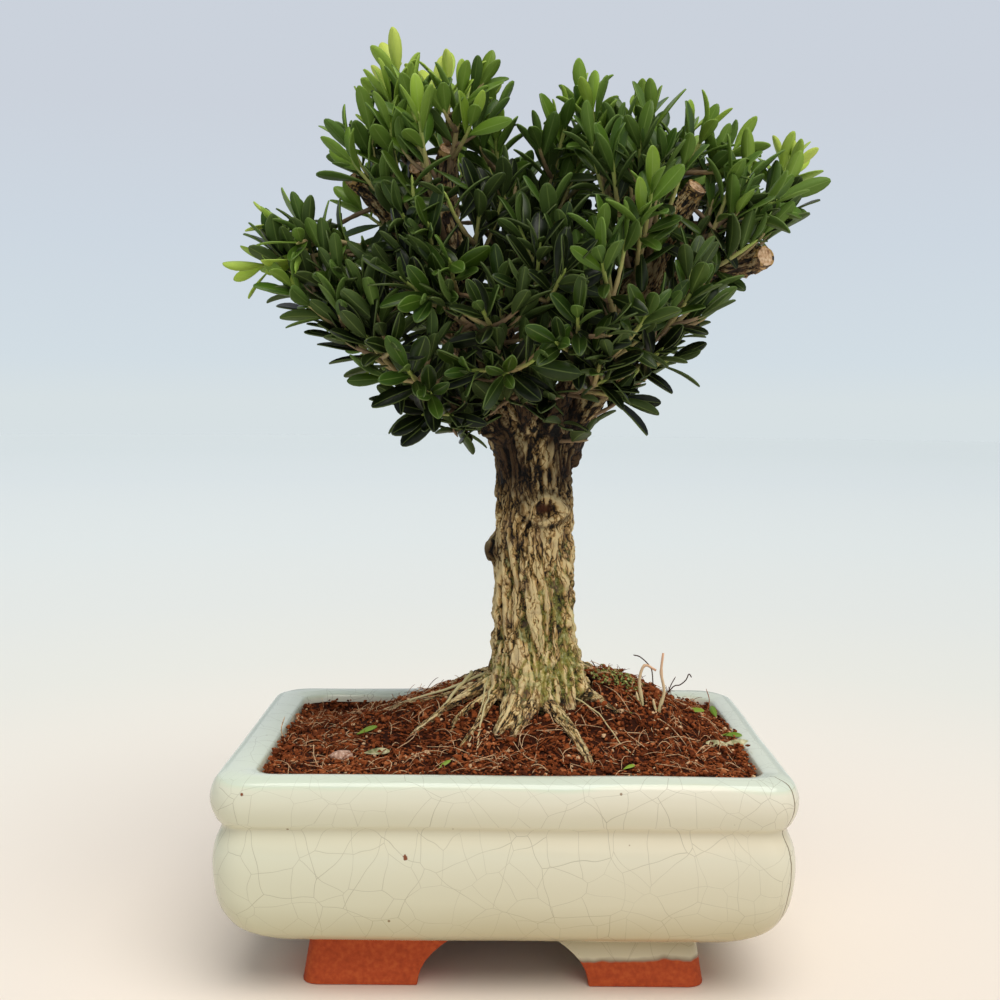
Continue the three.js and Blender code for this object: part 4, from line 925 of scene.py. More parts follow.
def wound_grain(places):
    """For each place on the wood: where it lies along and round its trunk, root or limb, which kind of these
    it is on (0, 1 or 2), how thick that is there, and how far it is from the seam with the next one."""
    trunk = [(x, 0.0, z, radius) for z, radius, x in TRUNK]
    routes = [trunk, *ROOTS, *LIMBS]
    count = len(places)
    best = np.full(count, 1e9)
    runner_up = np.full(count, 1e9)
    grain = np.zeros((count, 3))
    kind = np.zeros(count, int)
    thick = np.ones(count)
    for k, route in enumerate(routes):
        away, length, angle, radius = along_route(places, route)
        if k == 0:
            away = away - 1.0
        elif k <= len(ROOTS):
            away = away + np.maximum(0, places[:, 2] - 75) * 0.6
        else:
            away = away + np.maximum(0, CROWN_HEIGHT - places[:, 2]) * 0.6
        nearer = away < best
        runner_up = np.where(nearer, best, np.minimum(runner_up, away))
        best = np.where(nearer, away, best)
        turn = angle + 0.006 * length
        even = sum(row[3] for row in route) / len(route)
        wound = np.stack([even * np.cos(turn), even * np.sin(turn), length + 31.0 * k], 1)
        grain[nearer] = wound[nearer]
        kind[nearer] = 0 if k == 0 else 1 if k <= len(ROOTS) else 2
        thick[nearer] = radius[nearer]
    seam = np.clip((runner_up - best) / 1.5, 0.25, 1)
    return grain, kind, thick, seam


def wood_piece(bark):
    """Trunk, roots and limbs as one skin: the CAD solid remeshed finely, with corky plates along its
    grain."""
    bm = merged_copy("trunk")
    source = settled("wood_source", bm, [bark])
    remesh = source.modifiers.new("remesh", "REMESH")
    remesh.mode = "VOXEL"
    remesh.voxel_size = WOOD_VOXEL * MM
    soften = source.modifiers.new("soften", "SMOOTH")
    soften.factor = 0.5
    soften.iterations = 5
    mesh = applied(source)
    bpy.data.objects.remove(source)

    count = len(mesh.vertices)
    flat = np.zeros(count * 3)
    mesh.vertices.foreach_get("co", flat)
    places = flat.reshape(-1, 3) / MM - np.array(POT_LEVEL)
    normals = np.zeros(count * 3)
    mesh.vertices.foreach_get("normal", normals)
    normals = normals.reshape(-1, 3)

    grain, kind, thick, seam = wound_grain(places)
    sway = np.array([noise.noise(Vector(p)) for p in places * SWAY_CELLS])
    sway_too = np.array([noise.noise(Vector(p)) for p in places * SWAY_CELLS + (40, 0, 0)])
    bent = grain + np.stack([SWAY * sway, SWAY * sway_too, np.zeros(count)], 1)
    # the strands part round the knot
    knot = places - KNOT
    off_knot = np.hypot(knot[:, 0] / 1.3, knot[:, 2])
    front = np.where(knot[:, 1] < 8, 1.0, 0.0)
    near_knot = front * np.exp(-((off_knot / 5.5) ** 2))
    bent[:, 0] -= 1.1 * knot[:, 0] * near_knot
    cells = [cell_relief(bent / (across, across, along) + shift, seed)
             for across, along, shift, seed in BARK_CELLS]
    relief = sum(share * cell for share, cell in zip(BARK_SHARES, cells))
    # limbs have small plates and flakes alone
    relief = np.where(kind == 2, 0.45 * cells[1] + 0.55 * cells[3], relief)
    depth = np.where(kind == 0, TRUNK_DEPTH, np.minimum(ROOT_DEPTH_SHARE * thick, ROOT_DEPTH)) * seam
    ring = front * np.exp(-(((off_knot + 1.4 * sway - KNOT_RING) / KNOT_RING_WIDTH) ** 2))
    heart = front * np.exp(-(((off_knot + 0.8 * sway_too) / KNOT_HOLLOW) ** 4))
    knob = np.exp(-(((places[:, 2] - KNOB[1]) / 4.5) ** 2) - ((places[:, 0] - KNOB[0]) / 3) ** 2)
    relief = relief * (1 - 0.45 * heart)
    swell = 2.1 * near_knot + 2.2 * ring - 2.6 * heart + 1.6 * knob
    relief = relief + 0.6 * ring * (0.9 - relief)
    shifted = places + normals * ((relief - BARK_LEVEL) * depth + swell)[:, None]
    mesh.vertices.foreach_set("co", ((shifted + np.array(POT_LEVEL)) * MM).ravel())

    height = places[:, 2]
    from_soil = height - np.array([soil_swell(x, y) for x, y, _ in places])
    moss = 0.2 * np.exp(-(((height - 80) / 8) ** 2)) + 0.26 * np.exp(-(((height - 100) / 26) ** 2))
    moss = moss + np.where(relief < 0.5, 0.14, 0.0) + 0.1 * sway + np.where(places[:, 0] > 10, 0.06, 0.0)
    moss = np.where(kind == 1, 0.3, moss)
    # painted shade: the bark goes dark towards the crown, less so on the limbs as they rise, darker in its
    # grooves, and in a ring round the knot; the old knob and the roots where they meet the soil are darker
    # too
    darkest = np.where(kind == 2, 0.95 - 0.35 * np.clip((height - 165) / 25, 0, 1), 0.92)
    shade = np.clip((height - 128) / 14, 0, 1) * darkest + 0.9 * knob
    shade = shade * np.clip(1.0 + 1.7 * sway - 0.9 * (relief - BARK_LEVEL), 0.3, 1.1)
    shade = np.maximum(shade, 0.8 * front * np.exp(-(((off_knot - 5.4) / 0.9) ** 2)) * (relief < 0.75))
    shade = np.where(kind == 1, np.clip(0.3 - from_soil / 4, 0, 0.3), shade)
    for name, values in (("relief", relief), ("moss", moss), ("shade", shade), ("heart", heart)):
        mesh.attributes.new(name, "FLOAT", "POINT").data.foreach_set("value", values.astype(np.float32))
    wound = (grain * (1, 1, 0.3)).astype(np.float32).ravel()
    mesh.attributes.new("grain", "FLOAT_VECTOR", "POINT").data.foreach_set("vector", wound)
    wood = dressed("wood", mesh, [bark], "bark")
    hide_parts("trunk")


# The growth of the sprays, by the rule of the CAD source


def random_stream(seed):
    """The CAD source's own stream of random numbers, so that each leaf falls where its solid does."""
    state = seed & 0xFFFFFFFF
    while True:
        state = (state + 0x6D2B79F5) & 0xFFFFFFFF
        t = state
        t = ((t ^ (t >> 15)) * (t | 1)) & 0xFFFFFFFF
        t ^= (t + (((t ^ (t >> 7)) * (t | 61)) & 0xFFFFFFFF)) & 0xFFFFFFFF
        yield ((t ^ (t >> 14)) & 0xFFFFFFFF) / 4294967296


def unit(v):
    """The same direction at length one."""
    return v / np.linalg.norm(v)


def limb_seats():
    """Places along the limbs where shoots may start, with the limb's radius."""
    seats = []
    for limb in LIMBS:
        for a, b in zip(limb[:-1], limb[1:]):
            seats += [np.array(a, float) * (1 - t) + np.array(b, float) * t for t in (0, 0.2, 0.4, 0.6, 0.8)]
    return np.array(seats)


SEATS = limb_seats()


def shoot_line(start, end, steps):
    """A shoot's line: it leaves outwards and turns up towards the light."""
    bend = start + (end - start) * (BEND_OUT, BEND_OUT, BEND_UP)
    shares = np.linspace(0, 1, steps + 1)[:, None]
    return (1 - shares) ** 2 * start + 2 * (1 - shares) * shares * bend + shares**2 * end


def fine_points(line):
    """Finely spaced points of a line and its bud."""
    bud = line[-1] + unit(line[-1] - line[-2]) * BUD_LENGTH
    whole = np.vstack([line, bud])
    quarters = (0.25, 0.5, 0.75, 1.0)
    return np.vstack([whole[k] + (whole[k + 1] - whole[k]) * t for k in range(len(line)) for t in quarters])


def is_clear(line, taken):
    """Whether a line keeps clear of the stems that are there already."""
    if not len(taken):
        return True
    points = fine_points(line)
    away = np.linalg.norm(points[:, None] - taken[None], axis=2)
    return bool((away > STEM_CLEARANCE).all())


def is_free(line):
    """Whether a line keeps clear of the limbs, past its start."""
    away = np.linalg.norm(line[2:, None] - SEATS[None, :, :3], axis=2)
    return bool((away > SEATS[None, :, 3] + WOOD_CLEARANCE).all())


def spray_lines(tips, taken):
    """The lines of a spray: its main shoot from the best seat on a limb, and the twigs that leave it."""
    ends = [np.array(tip, float) for tip in tips]
    wanted = HEART + (ends[0] - HEART) * SEAT_REACH
    order = sorted(range(len(SEATS)), key=lambda k: float(np.linalg.norm(SEATS[k, :3] - wanted)))
    mains = [shoot_line(SEATS[k, :3], ends[0], 6) for k in order[:SEATS_TRIED]]
    clear = [line for line in mains if is_clear(line, taken)]
    main = next((line for line in clear if is_free(line)), clear[0] if clear else mains[0])
    lines = [main]
    for k, end in enumerate(ends[1:]):
        for start in ((4, 3, 2, 5) if k % 2 else (2, 3, 4, 5)):
            twig = shoot_line(main[start], end, 4)
            if is_free(twig) and is_clear(twig, taken):
                lines.append(twig)
                break
    return lines


def back_from_tip(line, distance):
    """The place at a distance back from a line's tip, and the way ahead there."""
    left = distance
    for i in range(len(line) - 1, 0, -1):
        step = line[i] - line[i - 1]
        length = np.linalg.norm(step)
        if left <= length or i == 1:
            return line[i] - step / length * min(left, length), step / length
        left -= length


def leaves_on(line, most, chance):
    """Opposite pairs of leaves from the tip inwards, each pair a quarter turn from the last."""
    leaves = []
    first = back_from_tip(line, 0)[1]
    steep = abs(first[2]) >= 0.8
    side = unit(np.cross(first, (1.0, 0, 0) if steep else (0, 0, 1.0)))
    length = np.linalg.norm(np.diff(line, axis=0), axis=1).sum()
    pairs = min(most, 1 + math.floor((length - BARE_ROOM) / PAIR_ROOM))
    turn = next(chance) * math.pi
    distance = PAIR_FIRST
    for k in range(pairs):
        at, ahead = back_from_tip(line, distance)
        across = unit(side - ahead * (side @ ahead))
        over = np.cross(ahead, across)
        for half in (0, 1):
            angle = turn + k * math.pi / 2 + half * math.pi + (next(chance) - 0.5) * TURN_SPREAD
            lean = math.radians(LEAN_FIRST + LEAN_STEP * k + (next(chance) - 0.5) * LEAN_SPREAD)
            size = (LEAF_LENGTH + (next(chance) - 0.5) * LEAF_SPREAD) * (LEAF_YOUNG if k == 0 else 1)
            out = across * math.cos(angle) + over * math.sin(angle)
            along = ahead * math.cos(lean) + out * math.sin(lean)
            face = unit(ahead - along * (ahead @ along))
            leaves.append({"at": at, "along": along, "face": face, "length": size, "pair": k})
        distance += PAIR_STEPS[k]
    return leaves


def grown_sprays():
    """All the sprays of the solids, with their lines and leaves."""
    taken = np.zeros((0, 3))
    sprays = []
    for region, tables in SPRAYS.items():
        for k, tips in enumerate(tables):
            lines = spray_lines(tips, taken)
            taken = np.vstack([taken, *[fine_points(line) for line in lines]])
            sprays.append({"node": f"spray_{region}_{k + 1}", "region": region, "lines": lines})
    chance = random_stream(SEED)
    for spray in sprays:
        spray["leafy"] = [leaves_on(line, 4 if k else 6, chance) for k, line in enumerate(spray["lines"])]
    return sprays


# Half the width of a leaf at shares of its length: a short stalk, widest past the middle.
LEAF_OUTLINE = [
    (0.0, 0.020),
    (0.09, 0.028),
    (0.22, 0.086),
    (0.38, 0.138),
    (0.55, 0.166),
    (0.71, 0.165),
    (0.85, 0.132),
    (0.95, 0.078),
    (1.0, 0.022),
]
LEAF_ROWS = len(LEAF_OUTLINE) - 1
# The forms that leaves are drawn from: fold, curl, twist and width.
LEAF_SHAPES = [
    (0.25, 0.05, 0.0, 0.95),
    (0.4, 0.1, 0.3, 0.85),
    (0.15, 0.16, -0.3, 1.0),
    (0.5, 0.0, 0.15, 0.8),
    (0.3, -0.06, -0.2, 0.9),
    (0.1, 0.09, 0.5, 1.05),
    (0.35, 0.22, 0.1, 0.82),
    (0.2, 0.02, -0.45, 0.9),
]


def leaf_form(fold, curl, twist, wide):
    """One leaf of unit length along +X, its face up: a grid drawn in to the blade's outline, folded along the
    midrib, curled down towards the tip, and given its thickness."""
    bm = bmesh.new()
    bmesh.ops.create_grid(bm, x_segments=LEAF_ROWS, y_segments=2, size=0.5)
    under = bm.verts.layers.float.new("underside")
    uv = bm.loops.layers.uv.new("blade")
    for face in bm.faces:
        for loop in face.loops:
            loop[uv].uv = (loop.vert.co.y + 0.5, loop.vert.co.x + 0.5)
    for vert in bm.verts:
        share, half = LEAF_OUTLINE[round((vert.co.x + 0.5) * LEAF_ROWS)]
        side = vert.co.y * 2
        half *= wide
        rise = fold * abs(side) * half - curl * share**2.2
        vert.co = Vector((share, side * half, rise))
    for vert in bm.verts:
        turn = twist * vert.co.x
        y, z = vert.co.y, vert.co.z
        vert.co.y = y * math.cos(turn) - z * math.sin(turn)
        vert.co.z = y * math.sin(turn) + z * math.cos(turn)
    bmesh.ops.recalc_face_normals(bm, faces=bm.faces)
    if sum(face.normal.z for face in bm.faces) < 0:
        bmesh.ops.reverse_faces(bm, faces=bm.faces)
    kept = set(bm.verts)
    bmesh.ops.solidify(bm, geom=bm.faces[:], thickness=0.026)
    for vert in bm.verts:
        vert[under] = 0.0 if vert in kept else 1.0
    middle = sum((vert.co.z for vert in kept), 0.0) / len(kept)
    others = [vert.co.z for vert in bm.verts if vert not in kept]
    if sum(others) / len(others) > middle:
        for vert in bm.verts:
            vert[under] = 1.0 - vert[under]
    return baked("leaf_form", bm)


def placed_leaf(gathered, tone, underside, form, leaf, youth_and_painted_light, chance):
    """Adds one leaf at its place, with its tone."""
    along = Vector(leaf["along"]).normalized()
    face = Vector(leaf["face"]).normalized()
    side = face.cross(along)
    turn = Matrix((along, side, face)).transposed().to_4x4()
    size = leaf["length"] * MM
    place = Matrix.Translation(here(*leaf["at"])) @ turn @ Matrix.Scale(size, 4)
    for vert in copied_in(gathered, form, place):
        vert[tone] = (youth_and_painted_light, chance, vert[underside])


# Shoots that the solids leave out, by the places where they end: a skirt of leaves that hides the crown's
# base, and short ones round the outside.
EXTRA_TIPS = [
    (-8, -22, 155), (-3, -25, 155), (3, -26, 155), (-13, -20, 156), (20, -20, 155), (26, -17, 156),
    (-66, -28, 206), (-58, -26, 212), (-62, -18, 199), (-52, -30, 205), (-56, -10, 207), (-47, -34, 199),
    (-40, -36, 192), (-36, -40, 187), (-60, -28, 202), (-42, -26, 186), (-12, -26, 163), (-19, -24, 166),
    (-4, -29, 161), (4, -30, 163), (12, -30, 164), (21, -25, 165), (29, -20, 168), (-8, -24, 170),
    (0, -26, 171), (9, -27, 172), (17, -25, 173), (26, -20, 176), (-12, -21, 156), (-5, -24, 155),
    (2, -25, 154), (9, -26, 155), (16, -24, 156), (23, -20, 157), (30, -17, 159), (36, -10, 163),
    (-17, -14, 157), (-4, 20, 156), (8, 23, 156), (20, 19, 157), (-20, 8, 205), (-28, 6, 198),
    (-24, 14, 192), (-14, 12, 200), (-34, 10, 205), (-18, 4, 214), (12, 18, 200), (26, 12, 212),
    (34, 8, 206), (30, 16, 198), (20, 22, 212), (-8, 16, 208), (-30, 0, 190), (-22, -4, 186),
    (-16, 14, 165), (-4, 26, 166), (10, 28, 168), (24, 22, 168), (36, 10, 175), (74, -16, 213),
    (78, -8, 214), (31, -22, 237), (-29, -12, 250), (28, -38, 206), (5, 0, 206), (0, 10, 213), (12, 8, 209),
    (8, -10, 201), (16, -6, 211), (4, 14, 221), (14, 16, 223), (0, -12, 207), (20, 6, 215), (10, 0, 224),
    (4, -6, 216), (22, 14, 226), (16, 4, 198), (2, 20, 206), (26, 20, 204), (-6, 8, 222),
]
# What the crown leaves in sight from the front: middle across and up, half the width and height, and how far
# back it lies. They are the sawn ends, a bare limb, an old knob, and a gap over the low left branch.
VIEWS = [
    (53.4, 224.8, 6.5, 6.0, -17.0),
    (74.2, 206.3, 7.0, 6.0, -12.0),
    (-17.8, 236.0, 5.5, 5.0, -11.0),
    (-26.5, 230.6, 5.5, 4.5, -14.0),
    (-45.0, 227.0, 5.0, 4.5, -14.0),
    (-16.5, 217.0, 5.0, 9.0, -8.0),
    (38.5, 203.0, 6.0, 7.0, -10.0),
    (-44.0, 219.0, 6.5, 6.0, 60.0),
]
# The upright plane that they are measured on.
VIEW_PLANE = -12.0
# The crown's underside: its lowest height, then height and rise outwards on the left and on the right, and
# how much lower it hangs towards the front.
UNDERSIDE_LOWEST = 149.0
UNDERSIDE_LEFT = (126.6, 0.87)
UNDERSIDE_RIGHT = (128.0, 1.13)
UNDERSIDE_FRONT = 0.25
# How far from the crown's heart the light begins to reach, and over what distance it grows.
LIGHT_FROM, LIGHT_OVER = 35, 70
# How young the leaves of each pair are, counted from the tip.
PAIR_YOUTH = (1.0, 0.84, 0.68, 0.55, 0.44, 0.36)
# How far added leaves turn up to the light, and how far all roll on their stalks.
LIFTED = 0.35
ROLL = 0.4


def crown_underside(x, y):
    """The height that the crown's leaves keep above: it rises outwards, and more to the right."""
    reach = math.hypot(x - HEART[0], y)
    right = 0.5 + 0.5 * (x - HEART[0]) / max(reach, 1)
    front = UNDERSIDE_FRONT * max(0, -y)
    left_height = UNDERSIDE_LEFT[0] + UNDERSIDE_LEFT[1] * reach
    right_height = UNDERSIDE_RIGHT[0] + UNDERSIDE_RIGHT[1] * reach
    return max(UNDERSIDE_LOWEST, left_height * (1 - right) + right_height * right - front)


def lit_share(tip):
    """How far out in the light a shoot ends: 0 inside the crown, 1 at its outside."""
    return min(1, max(0, (np.linalg.norm(tip - HEART) - LIGHT_FROM) / LIGHT_OVER))


def hides(leaf):
    """The place in sight from the front that a leaf stands before, if any."""
    eye = np.array(CAMERA_PLACE)
    for x, z, half_x, half_z, depth in VIEWS:
        for share in (0.2, 0.6, 1.0):
            spot = leaf["at"] + unit(leaf["along"]) * leaf["length"] * share
            seen = eye + (spot - eye) * (VIEW_PLANE - eye[1]) / (spot[1] - eye[1])
            if spot[1] < depth and math.hypot((seen[0] - x) / half_x, (seen[2] - z) / half_z) < 1:
                return x, z
    return None


def hangs_low(leaf):
    """Whether a leaf's tip hangs below the crown's underside."""
    tip = leaf["at"] + unit(leaf["along"]) * leaf["length"]
    return tip[2] < crown_underside(tip[0], tip[1])


def swung_aside(leaf):
    """Turns a leaf on its stalk until it clears what is in sight behind it."""
    for _ in range(4):
        spot = hides(leaf)
        if spot is None:
            return
        tip = leaf["at"] + leaf["along"] * leaf["length"] * 0.7
        aside = unit(np.array((tip[0] - spot[0], 0.0, tip[2] - spot[1])))
        leaf["along"] = unit(unit(leaf["along"]) + 0.6 * aside)
        leaf["face"] = unit(leaf["face"] - leaf["along"] * (leaf["face"] @ leaf["along"]))


def short_shoot(start, heading, length):
    """The line of a short shoot."""
    return shoot_line(start, start + unit(heading) * length, 4)


def filled_out(sprays):
    """Adds to the sprays the shoots that the solids leave out: the listed ones, side shoots on the stems, and
    old leafy ones that stand close round the limbs."""
    chance = iter(random.random, None)
    tips = np.array([spray["lines"][0][-1] for spray in sprays])
    extra = []
    for end in EXTRA_TIPS:
        end = np.array(end, float)
        wanted = HEART + (end - HEART) * 0.7
        seat = SEATS[np.argmin(np.linalg.norm(SEATS[:, :3] - wanted, axis=1)), :3]
        # painted light: the deeper inside the crown a shoot ends, the darker its leaves
        flush = random.uniform(0.2, 0.6) * max(0.15, min(1, 1.3 * lit_share(end)))
        extra.append((shoot_line(seat, end, 6), 5, flush))
    for spray in sprays:
        for k, line in enumerate(spray["lines"]):
            for start in (2, 3, 4) if k == 0 else ():
                ahead = unit(line[start] - line[start - 1])
                aside = np.cross(ahead, unit(np.array([random.gauss(0, 1) for _ in range(3)])))
                shoot = short_shoot(line[start], 0.8 * ahead + unit(aside), random.uniform(8, 13))
                extra.append((shoot, 2, spray["flush"] * random.uniform(0.5, 0.9)))
    # the old leafy ones get a very dark tone: their age and painted shade inside the crown
    for x, y, z, radius in SEATS[1::2]:
        out = unit(np.array((x - HEART[0], y - HEART[1], 14.0)))
        swerve = np.array([random.gauss(0, 0.8) for _ in range(3)])
        start = np.array((x, y, z))
        extra.append((short_shoot(start, out + swerve, radius + random.uniform(9, 16)), 3,
                      random.uniform(0.0, 0.15)))
    for line, most, flush in extra:
        owner = sprays[np.argmin(np.linalg.norm(tips - line[-1], axis=1))]
        leafy = leaves_on(line, most, chance)
        for leaf in leafy:
            leaf["along"] = unit(leaf["along"] + np.array((0, 0, LIFTED)))
            leaf["face"] = unit(np.array((0, 0, 1.0)) - leaf["along"] * leaf["along"][2] + 0.3 * leaf["face"])
        kept = [leaf for leaf in leafy if not (hangs_low(leaf) or hides(leaf))]
        if len(kept) > len(leafy) / 2:
            owner["extra"].append((line, flush, kept))


def shoots_and_leaves(sprays, shoot_material, leaf_material):
    """Two pieces for each region of the crown: its shoots, and its leaves."""
    random.seed(SEED)
    for spray in sprays:
        lit = lit_share(spray["lines"][0][-1])
        # painted light: a spray's leaves are lighter the further out in the light it ends and dark inside the
        # crown, with random new growth on top
        spray["flush"] = min(1, max(0.06, 0.02 + 0.98 * lit**1.8 + random.uniform(-0.12, 0.26)))
        spray["extra"] = []
    filled_out(sprays)
    forms = [leaf_form(*shape) for shape in LEAF_SHAPES]
    for region in SPRAYS:
        shoots = bmesh.new()
        shoots.verts.layers.float.new("along")
        leaves = bmesh.new()
        tone = leaves.verts.layers.float_vector.new("tone")
        underside = leaves.verts.layers.float.new("underside")
        leaves.loops.layers.uv.new("blade")
        nodes = []
        for spray in (s for s in sprays if s["region"] == region):
            nodes.append(spray["node"])
            grown = [(line, spray["flush"], leafy) for line, leafy in zip(spray["lines"], spray["leafy"])]
            for k, (line, flush, leafy) in enumerate(grown + spray["extra"]):
                ages = (0.0, 1.0) if k == 0 else (0.35, 1.0) if k < len(grown) else (0.1, 0.3 + 0.8 * flush)
                shoot_tube(shoots, line, 1.0 if k == 0 else 0.7, ages)
                for leaf in leafy:
                    # a leaf's tone: the spray's painted light and new growth, lower for older pairs
                    youth_and_painted_light = flush * PAIR_YOUTH[leaf["pair"]] + random.uniform(-0.05, 0.07)
                    swung_aside(leaf)
                    leaf["length"] *= random.uniform(0.82, 1.05)
                    side = np.cross(unit(leaf["face"]), unit(leaf["along"]))
                    roll = max(-1, min(1, random.gauss(0, ROLL)))
                    leaf["face"] = unit(leaf["face"] + side * math.tan(roll))
                    form = random.choice(forms)
                    placed_leaf(leaves, tone, underside, form, leaf, max(0, youth_and_painted_light), random.random())
        leafy = settled(f"leaves_{region}", leaves, [leaf_material], "leaf")
        settled(f"shoots_{region}", shoots, [shoot_material], "leaf")
        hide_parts(*nodes)


def shoot_tube(gathered, line, thick, ages):
    """A shoot with slightly swollen nodes and a pointed bud."""
    smooth = smooth_rows(line, 2)
    bud = line[-1] + unit(line[-1] - line[-2]) * BUD_LENGTH
    points = [here(*p) for p in smooth] + [here(*(line[-1] * 0.4 + bud * 0.6)), here(*bud)]
    count = len(smooth)
    radii = [(thick + (0.45 - thick) * i / count) * (1.0 + 0.2 * (i % 2)) * MM for i in range(count)]
    mixed_in(gathered, tube(points, [*radii, 0.42 * MM, 0.12 * MM], 6, ages))


# Sawn ends of limbs: middle, direction, radius.
SAWN_ENDS = [
    ((53.4, -17.4, 224.8), (0.45, -0.55, 0.7), 3.0),
    ((74.2, -12.6, 206.3), (0.55, -0.8, 0.2), 3.3),
    ((-17.8, -11.6, 236.0), (0.2, -0.6, 0.75), 2.9),
    ((-26.5, -14.0, 230.6), (-0.3, -0.85, 0.4), 2.2),
    ((-45.0, -14.4, 227.0), (-0.6, -0.6, 0.5), 2.0),
    ((60.6, 30.4, 213.0), (0.5, 0.6, 0.6), 2.2),
]


def sawn_ends(bark, cut_wood):
    """Each sawn end is a short stump of bark with a pale disc let into it."""
    gathered = bmesh.new()
    relief = gathered.verts.layers.float.new("relief")
    for place, heading, radius in SAWN_ENDS:
        stump = bmesh.new()
        bmesh.ops.create_cone(stump, cap_ends=True, segments=20, radius1=radius * 1.15, radius2=radius,
                              depth=5)
        top = max(stump.faces, key=lambda face: face.calc_center_median().z)
        bmesh.ops.inset_region(stump, faces=[top], thickness=radius * 0.14)
        top.material_index = 1
        bmesh.ops.translate(stump, vec=(0, 0, -0.25), verts=top.verts)
        bmesh.ops.subdivide_edges(stump, edges=[e for e in stump.edges if e.calc_length() > 3], cuts=3)
        for vert in stump.verts:
            wobble = noise.noise(vert.co * 0.6 + Vector(place))
            vert.co += Vector((vert.co.x, vert.co.y, 0.5)) * 0.14 * wobble
        turn = Vector((0, 0, 1)).rotation_difference(Vector(heading))
        middle = here(*place) - Vector(heading).normalized() * 1.1 * MM
        bmesh.ops.transform(stump, matrix=Matrix.LocRotScale(middle, turn, Vector((MM,) * 3)),
                            verts=stump.verts)
        mixed_in(gathered, stump)
    for vert in gathered.verts:
        vert[relief] = 0.45
    settled("sawn_ends", gathered, [bark, cut_wood], "bark", smooth=False)


# The soil and what lies on it

SOIL_LEVEL = 59.5
SOIL_SWELLS = [(9, 4, 24, 22, 17), (40, 10, 15, 17, 11), (-25, 8, 18, 18, 6), (-50, 40, 20, 11, -3.5)]
# Half the length and width of the pot's mouth and its corner radius, and the same halves at the wall itself.
MOUTH = (69.2, 48.2, 8.0)
WALL_HALF = (69.0, 48.0)
RIM_TOP = 63.2
FULL_TURN = 6.28
# The two dry stalks, as in the CAD source: x, y, z, radius along each.
STALKS = {
    "stalk_tall": [(47, -7, 62, 0.9), (47, -7, 70, 0.9), (48.5, -7, 76, 0.8), (47.5, -7, 82, 0.7),
                   (48, -7, 88, 0.6)],
    "stalk_short": [(42, -6, 62, 0.9), (42, -6, 72, 0.9), (41, -6, 79, 0.8), (42.5, -6, 84, 0.7),
                    (46, -6, 82.5, 0.6)],
}
# How far a stalk has shrunk as it dried, and how high the crumbs heap.
STALK_DRIED = 0.62
CLUMP_HEIGHT = 3.2
# Bare rootlets on the bed: where each runs, how high it starts above the soil, and half its thickness.
ROOTLETS = [
    ([(-10, 4), (-16, -6), (-22, -13), (-27, -17)], 3.0, 0.6),
    ([(-3, -6), (-6.7, -18.8), (-8.2, -31)], 4.0, 0.4),
    ([(-6, 3), (-17.5, 0), (-31, 3.7), (-38, 5)], 2.0, 0.5),
    ([(-5, -5), (-7, -14.8), (-11, -28)], 4.0, 0.3),
    ([(18, -10), (27.8, -16), (34.3, -27), (37, -31)], 1.5, 0.26),
]
# Wiry hairs and one white thread: the places that each passes, half its thickness, and its tone.
HAIRS = [
    ([(47, 8, 72), (46.5, 8, 79.1), (45.2, 8, 81.6), (42.6, 8, 83.9), (40.4, 8, 84.5)], 0.2, 0.12),
    ([(50, 11, 69), (53.7, 12, 73.5), (55.9, 12, 74.2), (57.8, 12, 75.8), (58.7, 12, 77.7), (59.6, 12, 76.6)],
     0.2, 0.12),
    ([(51, 11, 69), (53, 12, 74), (54.5, 12, 76.8)], 0.17, 0.2),
    ([(28, 12, 74), (29, 12, 79), (27.5, 12, 82)], 0.18, 0.15),
    ([(-52.4, -35.4, 59.4), (-54, -35.2, 63), (-54.2, -35, 66.4)], 0.16, 1.0),
    ([(66, 24, 61), (67.5, 25, 66), (66.5, 26, 70)], 0.14, 0.7),
    ([(-66, -10, 60), (-67.5, -10, 64), (-66.6, -9, 68)], 0.16, 0.8),
]
# Fallen leaves: place, the way it points in degrees, length, how steeply it rises, and whether it is dead.
FALLEN = [
    (58.0, -17.5, 62.6, 4, 8.5, 0.12, True),
    (66.0, -13.3, 62.0, -3, 9.0, 0.1, True),
    (66.6, -4.0, 62.2, -15, 6.4, 0.1, False),
    (68.5, 16.0, 62.6, 105, 6.0, 0.7, False),
    (56.0, 9.4, 66.4, 4, 7.5, 0.0, False),
    (33.0, -41.0, 61.6, 20, 4.0, 0.3, False),
    (-44.5, -12.4, 63.6, 12, 6.6, 0.4, False),
    (-41.0, -27.3, 62.0, -8, 8.0, 0.1, True),
    (-18.5, -40.5, 61.4, 30, 4.2, 0.5, False),
    (62.0, 2.0, 63.8, 140, 5.5, 0.2, True),
]
# Crumbs that lie on the rim.
RIM_CRUMBS = [(15.4, -51.2), (17.4, -52.0), (19.0, -50.9), (24.0, -51.4), (-17.0, -51.2), (47.0, -51.3),
              (-61.0, -51.2), (71.8, -20.0)]
PEBBLE_HALF = (3.4, 2.6, 1.7)
PEBBLE_PLACE = (-47, -28, 61.2)


def soil_swell(x, y):
    """The height of the soil under a spot."""
    z = SOIL_LEVEL
    for cx, cy, spread_x, spread_y, height in SOIL_SWELLS:
        z += height * math.exp(-(((x - cx) / spread_x) ** 2) / 2 - ((y - cy) / spread_y) ** 2 / 2)
    return z


def soil_tree():
    """The soil's solid, ready to be asked for its surface."""
    bm = merged_copy("soil")
    tree = BVHTree.FromBMesh(bm)
    bm.free()
    return tree


